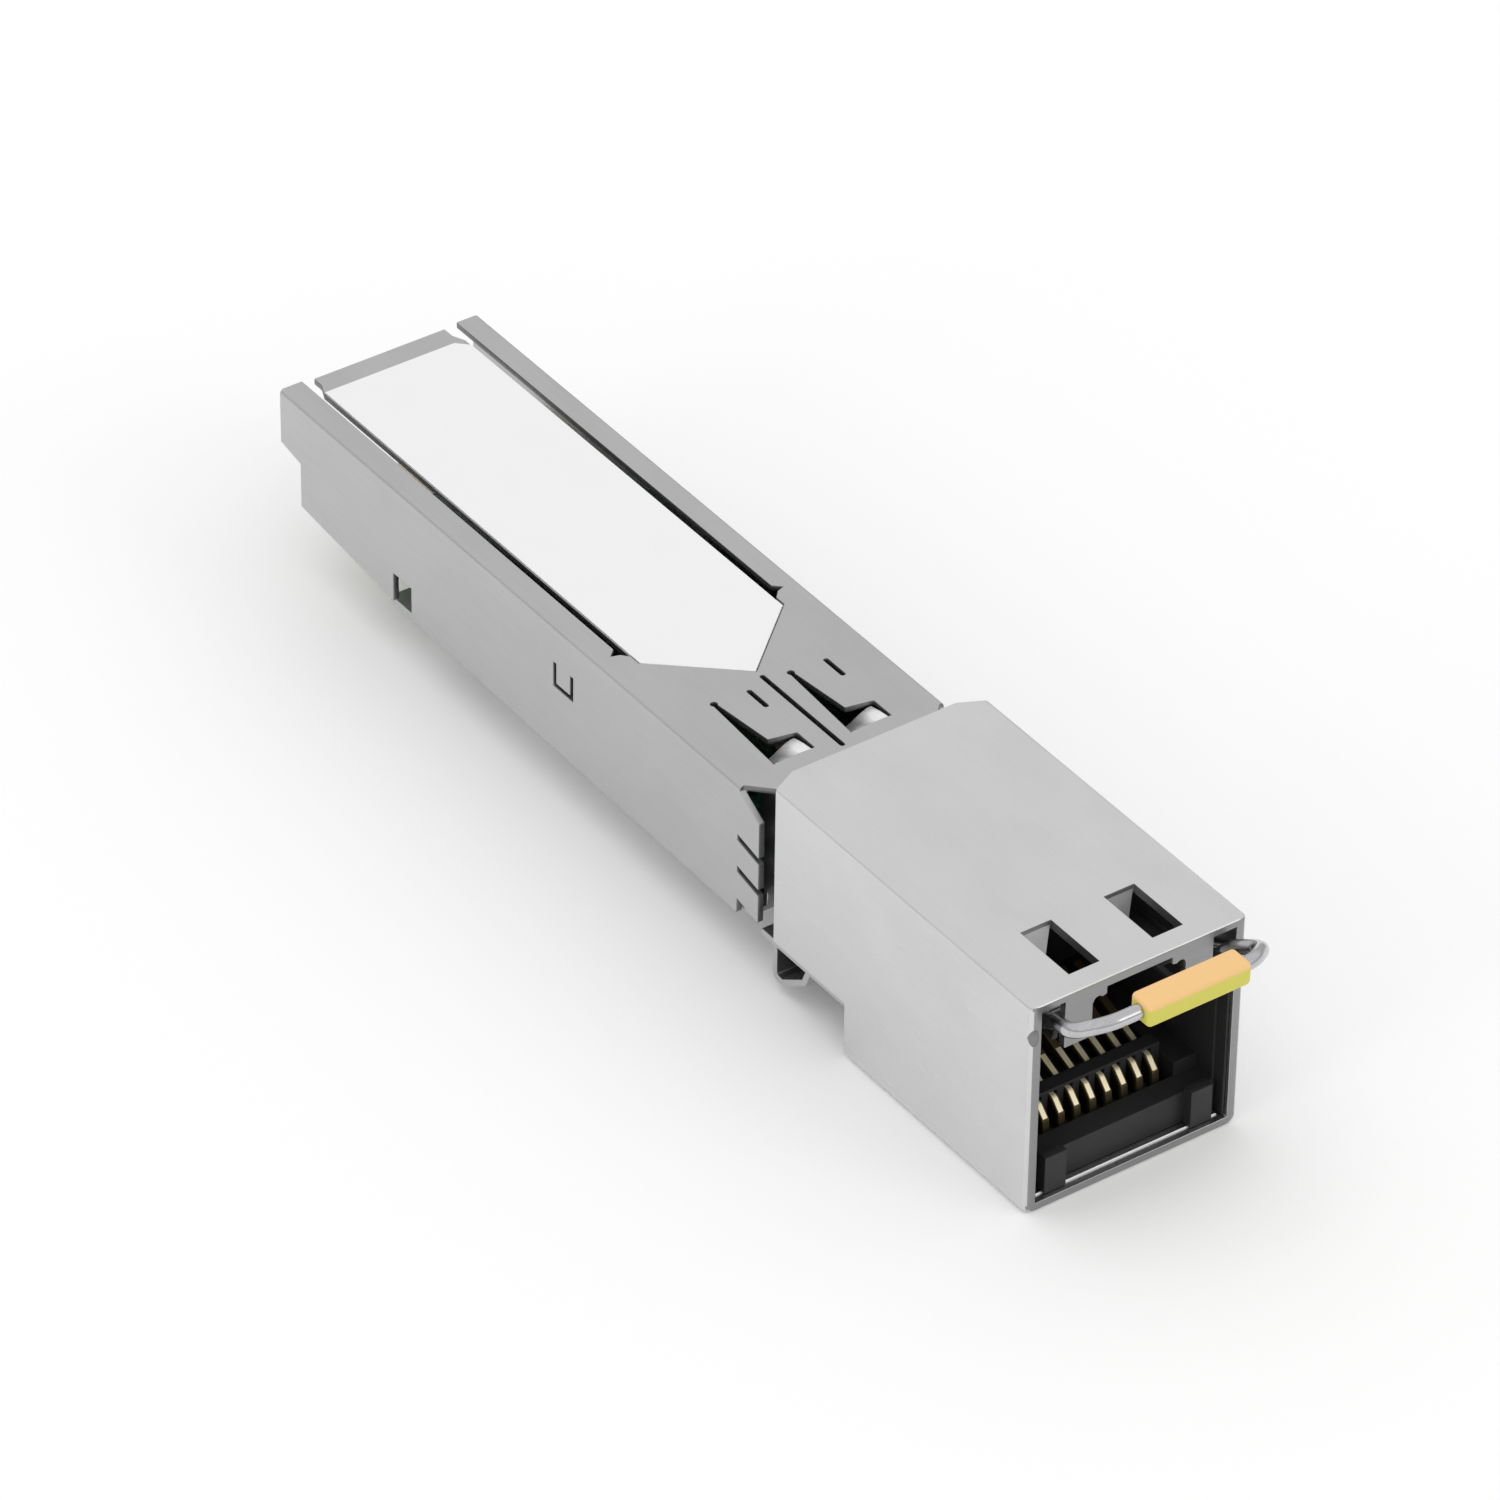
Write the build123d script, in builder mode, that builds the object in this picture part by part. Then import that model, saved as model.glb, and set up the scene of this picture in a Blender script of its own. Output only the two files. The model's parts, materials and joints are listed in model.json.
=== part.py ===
from build123d import *
import os
from math import cos, radians, sin

# A small pluggable transceiver with a copper plug socket, sizes in millimetres.
# x runs across the module, y from the socket's face to the board's edge, z up.
# The origin is on the centreline, where the head's rear shoulder meets the plane of the
# body's underside.

# Body: folded sheet that slides into the cage
body_width = 13.4
body_height = 8.5
body_length = 47.5
body_sheet = 0.4
body_bend = 0.3
fit_gap = 0.05
running_gap = 0.3
cut_margin = 1.0

# Side walls of the body
side_front = 1.0
skirt_kink_y = 34.3
skirt_kink_z = 0.5
skirt_rear_z = 1.65
hood_length = 2.0
hood_edge_rear_z = 4.95
hood_edge_front_z = 4.55
notch_front_y = 34.3
notch_length = 1.8
notch_top_z = 2.6
lance_front_y = 18.4
lance_length = 1.9
lance_bottom_z = 4.5
lance_top_z = 6.1
lance_kerf = 0.28
slit_rear_y = 2.95
slit_width = 0.38
slit_slope = 0.22
slit_heights = (5.26, 3.16, 0.97)
relief_rear_y = 2.8
relief_front_y = 1.6
relief_bottom_z = 7.1

# Neck that joins the body to the head
neck_inset = 1.5
neck_overlap = 4.0

# Top of the body: tongue between two rails, and the label's recess
rail_width = 1.5
tongue_slit = 0.45
slit_front_y = 15.6
slit_hook_length = 1.1
slit_hook_depth = 0.5
tongue_end_inset = 0.35
tongue_end_length = 1.6
recess_depth = 0.15
label_thickness = 0.1
label_rear_y = 45.9
label_shoulder_y = 14.9
label_point_y = 10.8
label_chamfer = 0.7
label_margin = 0.1

# Lanced tabs in the top, near the head
tab_left_x = -2.7
tab_pitch = 5.05
tab_half = 1.33
tab_front_y = 3.45
tab_foot_length = 1.6
tab_stem_y = 9.6
tab_stem_width = 0.2
tab_arm_width = 1.0
tab_left_gap = 0.1
tab_right_gap = 0.2
tab_knee_length = 0.7
tab_knee_drop = 0.15
tab_drop = 0.85
tab_relief_radius = 0.2
tab_side_gap = 0.35
short_slot_x = 1.35
short_slot_y = 8.7
short_slot_length = 1.8
centre_slot_y = 6.5
centre_slot_length = 7.6
slot_width = 0.28

# Bottom cover with the latch boss
cover_front_y = 2.2
cover_rear_y = 37.1
cover_flange_height = 2.3
cover_sheet = 0.35
cover_flange_front_y = 4.2
cover_flange_rear_y = 33.9
neck_wall_gap = 0.2
boss_front_y = 2.5
boss_length = 2.6
boss_width = 2.6
boss_height = 0.45
boss_land = 1.1
tab_rise_inset = 1.35
tab_rise_length = 2.0
tab_rise_front_y = 9.0
tab_rise_rear_y = 31.0

# Head: shell round the plug socket
head_overhang = 0.25
head_rear_length = 7.25
head_back_room = 2.35
head_top_z = 10.73
head_bottom_z = -3.0
head_rear_bottom_z = 0.6
head_wall = 0.7
head_sheet = 0.6
band_sheet = 0.5
head_round = 0.25
shoulder_cut_x = 1.6
shoulder_cut_y = 0.8
band_bottom_z = 7.2
band_wire_gap = 0.275
wire_notch_top_z = 10.2
latch_notch_half = 2.1
latch_notch_low_half = 3.0
latch_notch_top_z = 10.05
latch_notch_step_z = 9.35
latch_notch_slant = 0.25
latch_relief_inset = 0.35
latch_relief_radius = 0.3
window_x = 2.68
window_width = 1.95
window_depth = 1.26
window_length = 4.15
spring_length = 1.9
spring_angle = 85.0
spring_tip_width = 1.25
spring_sheet = 0.3

# Plug socket insert
insert_wall = 0.28
plug_bottom_z = 0.45
plug_top_z = 7.1
plug_depth = 12.66
insert_front_setback = 1.0
insert_roof = 0.25
insert_rear_wall = 0.4
insert_floor_top_z = -1.9
insert_tail_gap = 0.15
well_half = 4.45
front_bar_length = 1.4
front_bar_top_z = -0.35
block_x = 4.75
block_width = 1.4
block_length = 0.7
block_top_z = 0.0
latch_slot_half = 3.1
latch_slot_depth = 8.96
cradle_inset = 0.88
cradle_thickness = 0.3
cradle_half_length = 0.75
pocket_half = 0.48
cradle_top_z = 8.7
corner_slot_bottom_z = 6.7

# Contacts and the comb that spaces them
contact_count = 8
contact_pitch = 1.02
contact_width = 0.45
contact_thickness = 0.25
contact_bend = 0.25
contact_tail_length = 1.6
contact_riser_gap = 0.55
contact_nose_depth = 2.71
contact_knee_depth = 2.91
contact_knee_z = 0.0
contact_crest_depth = 3.51
contact_crest_z = 0.62
contact_rise_depth = 4.51
contact_rise_z = 0.75
contact_tip_depth = 9.86
contact_tip_z = 2.8
comb_depth = 3.6
comb_length = 0.9
comb_top_z = 1.13
comb_bar = 0.2
comb_slot = 0.57

# Circuit board
board_bottom_z = 2.25
board_thickness = 1.0
board_front_gap = 0.05
board_end_y = 44.3
board_neck_gap = 0.6
board_side_gap = 0.15
board_edge_half = 4.6
board_shoulder_y = 3.2
board_edge_y = 33.8
board_lead_in = 0.3
pad_count = 10
pad_pitch = 0.8
pad_width = 0.6
pad_length = 3.6
pad_thickness = 0.05

# Board components: centre x, centre y, size x, size y, height
component_bevel = 0.1
phy_chip_size = (0.0, 19.0, 9.0, 9.0, 0.9)
magnetics_inset = 0.2
magnetics_length = 5.2
magnetics_rear_gap = 0.4
magnetics_top_gap = 0.25
memory_size = (-2.4, 30.0, 4.9, 3.9, 1.5)
crystal_size = (3.1, 28.4, 3.2, 2.5, 0.8)
regulator_size = (-2.2, 9.0, 3.0, 3.0, 0.9)
capacitor_size = (0.8, 1.6, 0.8)
capacitor_first = (0.8, 9.0)
capacitor_pitch = 1.5
capacitor_count = 3
coupling_size = (0.5, 1.0, 0.5)
coupling_y = 34.4
coupling_pitch = 1.6
coupling_count = 4

# Wire bail and its sleeve
wire_radius = 0.425
bail_pivot_depth = 1.5
bail_pivot_height = 1.4
bail_rise = 27.0
bail_arm_inset = 0.8
bail_splay_start = 1.9
bail_splay = 0.7
bail_corner_reach = 4.32
bail_bar_inset = 0.85
bail_bar_reach = 5.6
bail_stub_length = 1.5
bail_stub_bend = 0.6
bail_splay_bend = 1.5
bail_corner_bend = 1.1
bail_bar_bend = 2.0
bail_tail_length = 0.8
bail_tail_angle = 38.0
bail_tail_width = 0.6
bail_tail_half = 0.35
sleeve_length = 6.6
sleeve_offset = 0.55
sleeve_depth = 1.65
sleeve_height = 1.45
sleeve_round = 0.3

# Release slide
slide_sheet = 0.35
slide_arm_inset = 0.95
slide_arm_width = 0.8
slide_arm_gap = 0.435
slide_leg_gap = 0.6
slide_tab_gap = 0.735
slide_tab_length = 0.8
slide_finger_gap = 0.155
slide_finger_half = 0.35
slide_plate_top_z = 0.3
slide_plate_sheet = 0.4
slide_plate_inset = 0.1
slide_plate_front_gap = 0.45
slide_plate_rear_y = 0.8
slide_overlap = 1.0
slide_slot_margin = 0.3
lip_rear_y = -0.25
lip_front_y = -3.7
lip_depth = 2.35
lip_nose_y = -1.15
lip_knee_y = -3.1
lip_knee_z = -0.9
lip_bend = 0.3

# Sizes that follow: across the module
body_half = body_width / 2
rail_inner = body_half - rail_width
tongue_half = rail_inner - tongue_slit
label_half = tongue_half - fit_gap
neck_half = body_half - neck_inset
cover_half = body_half - body_sheet - fit_gap
board_half = cover_half - cover_sheet - board_side_gap
board_neck_half = neck_half - board_neck_gap
tab_rise_x = board_half - tab_rise_inset
head_half = body_half + head_overhang
head_rear_half = head_half - shoulder_cut_x
inner_half = head_half - head_wall
insert_half = inner_half - fit_gap
plug_half = insert_half - insert_wall
bail_arm_x = inner_half - bail_arm_inset
bail_stub_x = bail_arm_x - bail_stub_length
bail_corner_x = bail_arm_x + bail_splay
bail_bar_x = bail_arm_x - bail_bar_inset
band_half = bail_arm_x - wire_radius - band_wire_gap
cradle_x = bail_arm_x - cradle_inset
slide_arm_x = inner_half - slide_arm_inset
slide_arm_inner = slide_arm_x - slide_arm_width / 2
slide_arm_outer = slide_arm_x + slide_arm_width / 2
slide_plate_half = body_half - slide_plate_inset
first_contact_x = -(contact_count - 1) * contact_pitch / 2

# Along the module, from the shoulder forward to the socket's face
head_step_y = -head_rear_length
head_step_inner_y = head_step_y - head_sheet
insert_rear_y = head_step_inner_y - head_back_room
plug_rear_y = insert_rear_y - insert_rear_wall
head_front_y = plug_rear_y - plug_depth
insert_front_y = head_front_y + insert_front_setback
board_front_y = head_step_inner_y + board_front_gap
contact_riser_y = head_step_inner_y - contact_riser_gap
bail_pivot_y = head_front_y + bail_pivot_depth
wire_rear_y = bail_pivot_y + wire_radius
slide_finger_front_y = wire_rear_y + slide_finger_gap
slide_arm_front_y = wire_rear_y + slide_arm_gap
slide_tab_front_y = wire_rear_y + slide_tab_gap
slide_tab_rear_y = slide_tab_front_y + slide_tab_length
slide_leg_y = insert_rear_y + slide_leg_gap
slide_plate_front_y = head_step_y + slide_plate_front_gap

# Up the module
board_top_z = board_bottom_z + board_thickness
tongue_top_z = body_height - recess_depth
inner_top_z = head_top_z - head_sheet
neck_tongue_z = head_rear_bottom_z + head_sheet
insert_bottom_z = head_bottom_z + head_sheet + fit_gap
insert_top_z = plug_top_z + insert_roof
bail_pivot_z = plug_top_z + bail_pivot_height
slide_arm_bottom_z = insert_top_z + running_gap
slide_arm_top_z = slide_arm_bottom_z + slide_sheet
slide_plate_bottom_z = slide_plate_top_z - slide_plate_sheet
contact_floor_z = insert_floor_top_z + fit_gap + contact_thickness / 2
contact_board_z = board_top_z + contact_thickness / 2
magnetics_height = body_height - body_sheet - magnetics_top_gap - board_top_z
magnetics_middle_y = -head_sheet - magnetics_rear_gap - magnetics_length / 2
magnetics_size = (
    0.0, magnetics_middle_y, 2 * (board_neck_half - magnetics_inset), magnetics_length, magnetics_height,
)


def finish(piece, name):
    piece.part.label = name
    export_step(piece.part, "parts/" + name + ".step")


def slab(x_low, x_high, y_low, y_high, z_low, z_high, mode=Mode.ADD):
    # A rectangular block between two corners
    with Locations(((x_low + x_high) / 2, (y_low + y_high) / 2, (z_low + z_high) / 2)):
        Box(x_high - x_low, y_high - y_low, z_high - z_low, mode=mode)


def label_points(margin):
    # Arrow-ended outline of the label, seen from above, grown by a margin
    half = label_half + margin
    rear = label_rear_y + margin
    return (
        (-half, rear),
        (half - label_chamfer, rear),
        (half, rear - label_chamfer),
        (half, label_shoulder_y),
        (0, label_point_y - margin),
        (-half, label_shoulder_y),
    )


os.makedirs("parts", exist_ok=True)

# Body shell: one folded sheet with a top, two side walls and a hood over the board's edge
with BuildPart() as body_shell:
    with BuildSketch(Plane.XZ.offset(-side_front)) as channel:
        with Locations((0, body_height / 2)):
            Rectangle(body_width, body_height)
        fillet(channel.vertices().group_by(Axis.Y)[-1], body_bend)
        with Locations((0, (body_height - body_sheet) / 2)):
            Rectangle(body_width - 2 * body_sheet, body_height - body_sheet, mode=Mode.SUBTRACT)
    extrude(amount=-(body_length - side_front))
    # The skirt rises to the rear and stops short of the hood
    with BuildSketch(Plane.YZ):
        with BuildLine():
            Polyline(
                (side_front, -cut_margin),
                (side_front, 0),
                (skirt_kink_y, skirt_kink_z),
                (body_length - hood_length, skirt_rear_z),
                (body_length - hood_length, hood_edge_front_z),
                (body_length, hood_edge_rear_z),
                (body_length + cut_margin, hood_edge_rear_z),
                (body_length + cut_margin, -cut_margin),
                close=True,
            )
        make_face()
    extrude(amount=body_width, both=True, mode=Mode.SUBTRACT)
    # The side walls' front corners are cut back, above and below the fingers
    with BuildSketch(Plane.YZ):
        with BuildLine():
            Polyline(
                (0, relief_bottom_z),
                (side_front, relief_bottom_z),
                (relief_rear_y, body_height - body_bend),
                (relief_rear_y, body_height + cut_margin),
                (0, body_height + cut_margin),
                close=True,
            )
        make_face()
        with BuildLine():
            Polyline(
                (0, -cut_margin),
                (slit_rear_y, -cut_margin),
                (slit_rear_y, slit_heights[-1] - slit_width),
                (side_front, slit_heights[-1] - slit_width - slit_slope * (slit_rear_y - side_front)),
                (0, slit_heights[-1] - slit_width - slit_slope * slit_rear_y),
                close=True,
            )
        make_face()
    extrude(amount=body_width, both=True, mode=Mode.SUBTRACT)
    # The top goes on as a narrower neck that lies inside the head
    with BuildSketch(Plane.XY.offset(body_height - body_sheet)):
        with BuildLine():
            Polyline(
                (-neck_half, -neck_overlap),
                (neck_half, -neck_overlap),
                (neck_half, relief_front_y),
                (body_half - body_bend, relief_rear_y),
                (body_half - body_bend, relief_rear_y + body_bend),
                (body_bend - body_half, relief_rear_y + body_bend),
                (body_bend - body_half, relief_rear_y),
                (-neck_half, relief_front_y),
                close=True,
            )
        make_face()
    extrude(amount=body_sheet)
    # The label's recess, pressed into the tongue and the plate in front of it
    with BuildSketch(Plane.XY.offset(tongue_top_z)):
        with BuildLine():
            Polyline(*label_points(label_margin), close=True)
        make_face()
        with Locations((0, (slit_front_y + body_length) / 2)):
            Rectangle(2 * tongue_half, body_length - slit_front_y)
    extrude(amount=cut_margin, mode=Mode.SUBTRACT)
    with BuildSketch(Plane.XY.offset(tongue_top_z - body_sheet)):
        with Locations((0, (slit_front_y + body_length) / 2)):
            Rectangle(2 * tongue_half, body_length - slit_front_y)
    extrude(amount=recess_depth)
    # Slits that part the tongue from the rails, with a hooked front end and a wide rear end
    with BuildSketch(Plane.XY.offset(body_height - 2 * body_sheet)):
        for side in (-1, 1):
            with BuildLine():
                Polyline(
                    (side * tongue_half, slit_front_y),
                    (side * rail_inner, slit_front_y + slit_hook_depth),
                    (side * (rail_inner + slit_hook_depth), slit_front_y + slit_hook_length - tongue_slit),
                    (side * rail_inner, slit_front_y + slit_hook_length),
                    (side * rail_inner, body_length + cut_margin),
                    (side * (tongue_half - tongue_end_inset), body_length + cut_margin),
                    (side * (tongue_half - tongue_end_inset), body_length - tongue_end_length / 2),
                    (side * tongue_half, body_length - tongue_end_length),
                    close=True,
                )
            make_face()
    extrude(amount=body_sheet * 3, mode=Mode.SUBTRACT)
    # Slots and lanced tabs near the head, the same pattern twice
    with BuildSketch(Plane.XY.offset(body_height - body_sheet * 2)):
        with Locations((0, centre_slot_y)):
            SlotOverall(centre_slot_length, slot_width, rotation=90)
        for index in (0, 1):
            tab_x = tab_left_x + index * tab_pitch
            with Locations((tab_x + short_slot_x, short_slot_y)):
                SlotOverall(short_slot_length, slot_width, rotation=90)
            with BuildLine():
                Polyline(
                    (tab_x - tab_half, tab_front_y),
                    (tab_x + tab_half, tab_front_y),
                    (tab_x + tab_half, tab_front_y + tab_foot_length),
                    (tab_x - tab_half + tab_arm_width, tab_front_y + tab_foot_length + tab_side_gap),
                    (tab_x - tab_half + tab_side_gap + tab_stem_width, tab_stem_y),
                    (tab_x - tab_half + tab_side_gap, tab_stem_y),
                    close=True,
                )
            make_face()
            with Locations((tab_x - tab_half + tab_side_gap + tab_stem_width / 2, tab_stem_y)):
                Circle(tab_relief_radius)
    extrude(amount=body_sheet * 3, mode=Mode.SUBTRACT)
    for index in (0, 1):
        tab_x = tab_left_x + index * tab_pitch
        with BuildSketch(Plane.YZ.offset(tab_x - tab_half + tab_left_gap)):
            with BuildLine():
                Polyline(
                    (tab_front_y - body_sheet, body_height),
                    (tab_front_y, body_height),
                    (tab_front_y + tab_knee_length, body_height - tab_knee_drop),
                    (tab_front_y + tab_foot_length, body_height - tab_drop),
                    (tab_front_y + tab_foot_length - body_sheet / 2, body_height - tab_drop - body_sheet),
                    (tab_front_y + tab_knee_length - body_sheet / 2, body_height - tab_knee_drop - body_sheet),
                    (tab_front_y - body_sheet, body_height - body_sheet),
                    close=True,
                )
            make_face()
        extrude(amount=2 * tab_half - tab_left_gap - tab_right_gap)
    # Slits between the contact fingers, sloping down to the front
    for height in slit_heights:
        with BuildSketch(Plane.YZ):
            with BuildLine():
                Polyline(
                    (0, height - slit_width - slit_slope * slit_rear_y),
                    (0, height - slit_slope * slit_rear_y),
                    (slit_rear_y, height),
                    (slit_rear_y, height - slit_width),
                    close=True,
                )
            make_face()
        extrude(amount=body_width, both=True, mode=Mode.SUBTRACT)
    # Side notch where the cover's flange shows, and the lanced tongue behind a U-shaped kerf
    slab(-body_width, body_width, notch_front_y, notch_front_y + notch_length, -cut_margin, notch_top_z, Mode.SUBTRACT)
    with BuildSketch(Plane.YZ):
        lance_middle = lance_front_y + lance_length / 2
        with Locations((lance_middle, (lance_bottom_z + lance_top_z) / 2)):
            Rectangle(lance_length, lance_top_z - lance_bottom_z)
        with Locations((lance_middle, (lance_bottom_z + lance_top_z) / 2 + lance_kerf)):
            Rectangle(lance_length - 2 * lance_kerf, lance_top_z - lance_bottom_z, mode=Mode.SUBTRACT)
    extrude(amount=body_width, both=True, mode=Mode.SUBTRACT)
finish(body_shell, "body_shell")

# Label: a blank plate in the recess, with an arrow end towards the head
with BuildPart() as label:
    with BuildSketch(Plane.XY.offset(tongue_top_z)):
        with BuildLine():
            Polyline(*label_points(0), close=True)
        make_face()
    extrude(amount=label_thickness)
finish(label, "label")

# Bottom cover: a plate between the side walls, two flanges, the latch boss and the board's tabs
with BuildPart() as bottom_cover:
    slab(-cover_half, cover_half, cover_front_y, cover_rear_y, 0, cover_sheet)
    for side in (-1, 1):
        edge = side * cover_half
        inner = side * (cover_half - cover_sheet)
        slab(
            min(edge, inner), max(edge, inner), cover_flange_front_y, cover_flange_rear_y,
            0, cover_sheet + cover_flange_height,
        )
    # A joggled tongue rises off the front edge and lies on the head's floor
    with BuildSketch(Plane.YZ):
        with BuildLine():
            Polyline(
                (cover_front_y, 0),
                (cover_front_y, neck_tongue_z),
                (-neck_overlap, neck_tongue_z),
                (-neck_overlap, neck_tongue_z + cover_sheet),
                (cover_front_y + cover_sheet, neck_tongue_z + cover_sheet),
                (cover_front_y + cover_sheet, 0),
                close=True,
            )
        make_face()
    extrude(amount=neck_half, both=True)
    # The neck's side walls stand on the tongue, under the body's top
    for side in (-1, 1):
        wall = sorted((side * neck_half, side * (neck_half - cover_sheet)))
        slab(
            wall[0], wall[1], -neck_overlap, board_shoulder_y - neck_wall_gap,
            neck_tongue_z, body_height - body_sheet - fit_gap,
        )
    # Latch boss: a square shoulder to the front and a ramp to the rear
    with BuildSketch(Plane.YZ):
        with BuildLine():
            Polyline(
                (boss_front_y, cover_sheet / 2),
                (boss_front_y, -boss_height),
                (boss_front_y + boss_land, -boss_height),
                (boss_front_y + boss_length, 0),
                (boss_front_y + boss_length, cover_sheet / 2),
                close=True,
            )
        make_face()
    extrude(amount=boss_width / 2, both=True)
    # Four tabs, each cut from a window in the plate and bent up to carry the board
    tab_rise_height = board_bottom_z
    for side in (-1, 1):
        for tab_y in (tab_rise_front_y, tab_rise_rear_y):
            tab_edges = sorted((side * tab_rise_x, side * (tab_rise_x - cover_sheet)))
            window_edges = sorted((side * (tab_rise_x - cover_sheet), side * (tab_rise_x - tab_rise_height)))
            slab(
                window_edges[0], window_edges[1], tab_y - tab_rise_length / 2, tab_y + tab_rise_length / 2,
                -cut_margin, cover_sheet, Mode.SUBTRACT,
            )
            slab(
                tab_edges[0], tab_edges[1], tab_y - tab_rise_length / 2, tab_y + tab_rise_length / 2,
                0, board_bottom_z,
            )
finish(bottom_cover, "bottom_cover")

# Head shell: a drawn and folded box with cut rear corners, stepped underneath
with BuildPart() as jack_shell:
    with BuildSketch(Plane.XY.offset(head_bottom_z)) as head_plan:
        with BuildLine():
            Polyline(
                (-head_half, head_front_y),
                (head_half, head_front_y),
                (head_half, -shoulder_cut_y),
                (head_rear_half, 0),
                (-head_rear_half, 0),
                (-head_half, -shoulder_cut_y),
                close=True,
            )
        make_face()
    extrude(amount=head_top_z - head_bottom_z)
    long_edges = jack_shell.edges().filter_by(Axis.Y).group_by(Axis.Z)[-1]
    fillet(long_edges, head_round)
    slab(-head_half, head_half, head_step_y, cut_margin, head_bottom_z, head_rear_bottom_z, Mode.SUBTRACT)
    # Cavity: full height to the front, above the raised floor to the rear
    with BuildSketch(Plane.XY.offset(neck_tongue_z)):
        with BuildLine():
            Polyline(
                (-inner_half, head_front_y + band_sheet),
                (inner_half, head_front_y + band_sheet),
                (inner_half, -shoulder_cut_y - head_wall / 2),
                (head_rear_half, -head_sheet),
                (-head_rear_half, -head_sheet),
                (-inner_half, -shoulder_cut_y - head_wall / 2),
                close=True,
            )
        make_face()
    extrude(amount=inner_top_z - neck_tongue_z, mode=Mode.SUBTRACT)
    slab(
        -inner_half, inner_half, head_front_y + band_sheet, head_step_inner_y,
        head_bottom_z + head_sheet, neck_tongue_z + cut_margin, Mode.SUBTRACT,
    )
    # Front: the opening, the gaps beside the band for the wire, and the plug latch's notch
    slab(
        -inner_half, inner_half, head_front_y - cut_margin, head_front_y + band_sheet,
        head_bottom_z + head_sheet, band_bottom_z, Mode.SUBTRACT,
    )
    for side in (-1, 1):
        gap_edges = sorted((side * band_half, side * inner_half))
        slab(
            gap_edges[0], gap_edges[1], head_front_y - cut_margin, head_front_y + band_sheet,
            band_bottom_z - cut_margin, wire_notch_top_z, Mode.SUBTRACT,
        )
    with BuildSketch(Plane.XZ.offset(-head_front_y + cut_margin)):
        with BuildLine():
            Polyline(
                (-latch_notch_low_half, band_bottom_z - cut_margin),
                (-latch_notch_low_half, latch_notch_step_z),
                (-latch_notch_half, latch_notch_step_z + latch_notch_slant),
                (-latch_notch_half, latch_notch_top_z),
                (latch_notch_half, latch_notch_top_z),
                (latch_notch_half, latch_notch_step_z + latch_notch_slant),
                (latch_notch_low_half, latch_notch_step_z),
                (latch_notch_low_half, band_bottom_z - cut_margin),
                close=True,
            )
        make_face()
        for side in (-1, 1):
            with Locations((side * (latch_notch_low_half - latch_relief_inset), latch_notch_step_z)):
                Circle(latch_relief_radius)
    extrude(amount=-(band_sheet + cut_margin), mode=Mode.SUBTRACT)
    # Rear: the neck's opening, and the slide's slot through the step
    slab(
        -head_rear_half, head_rear_half, -head_sheet - cut_margin, cut_margin,
        neck_tongue_z, body_height + fit_gap, Mode.SUBTRACT,
    )
    slide_slot_half = slide_arm_x + slide_arm_width / 2 + slide_slot_margin
    slab(
        -slide_slot_half, slide_slot_half, head_step_inner_y - fit_gap, head_step_y + fit_gap,
        slide_plate_bottom_z - slide_slot_margin, head_rear_bottom_z, Mode.SUBTRACT,
    )
    # Two windows in the top, each with a tapered spring bent down from its rear edge
    window_front_y = head_front_y + window_depth
    window_rear_y = window_front_y + window_length
    for side in (-1, 1):
        slab(
            side * window_x - window_width / 2, side * window_x + window_width / 2,
            window_front_y, window_rear_y, inner_top_z - cut_margin, head_top_z + cut_margin, Mode.SUBTRACT,
        )
        spring_plane = Plane(
            origin=(side * window_x, window_rear_y, head_top_z - spring_sheet),
            x_dir=(1, 0, 0),
            z_dir=(0, -sin(radians(spring_angle)), cos(radians(spring_angle))),
        )
        with BuildSketch(spring_plane):
            with BuildLine():
                Polyline(
                    (-window_width / 2 + fit_gap, spring_sheet),
                    (window_width / 2 - fit_gap, spring_sheet),
                    (spring_tip_width / 2, -spring_length),
                    (-spring_tip_width / 2, -spring_length),
                    close=True,
                )
            make_face()
        extrude(amount=-spring_sheet)
finish(jack_shell, "jack_shell")

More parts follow.
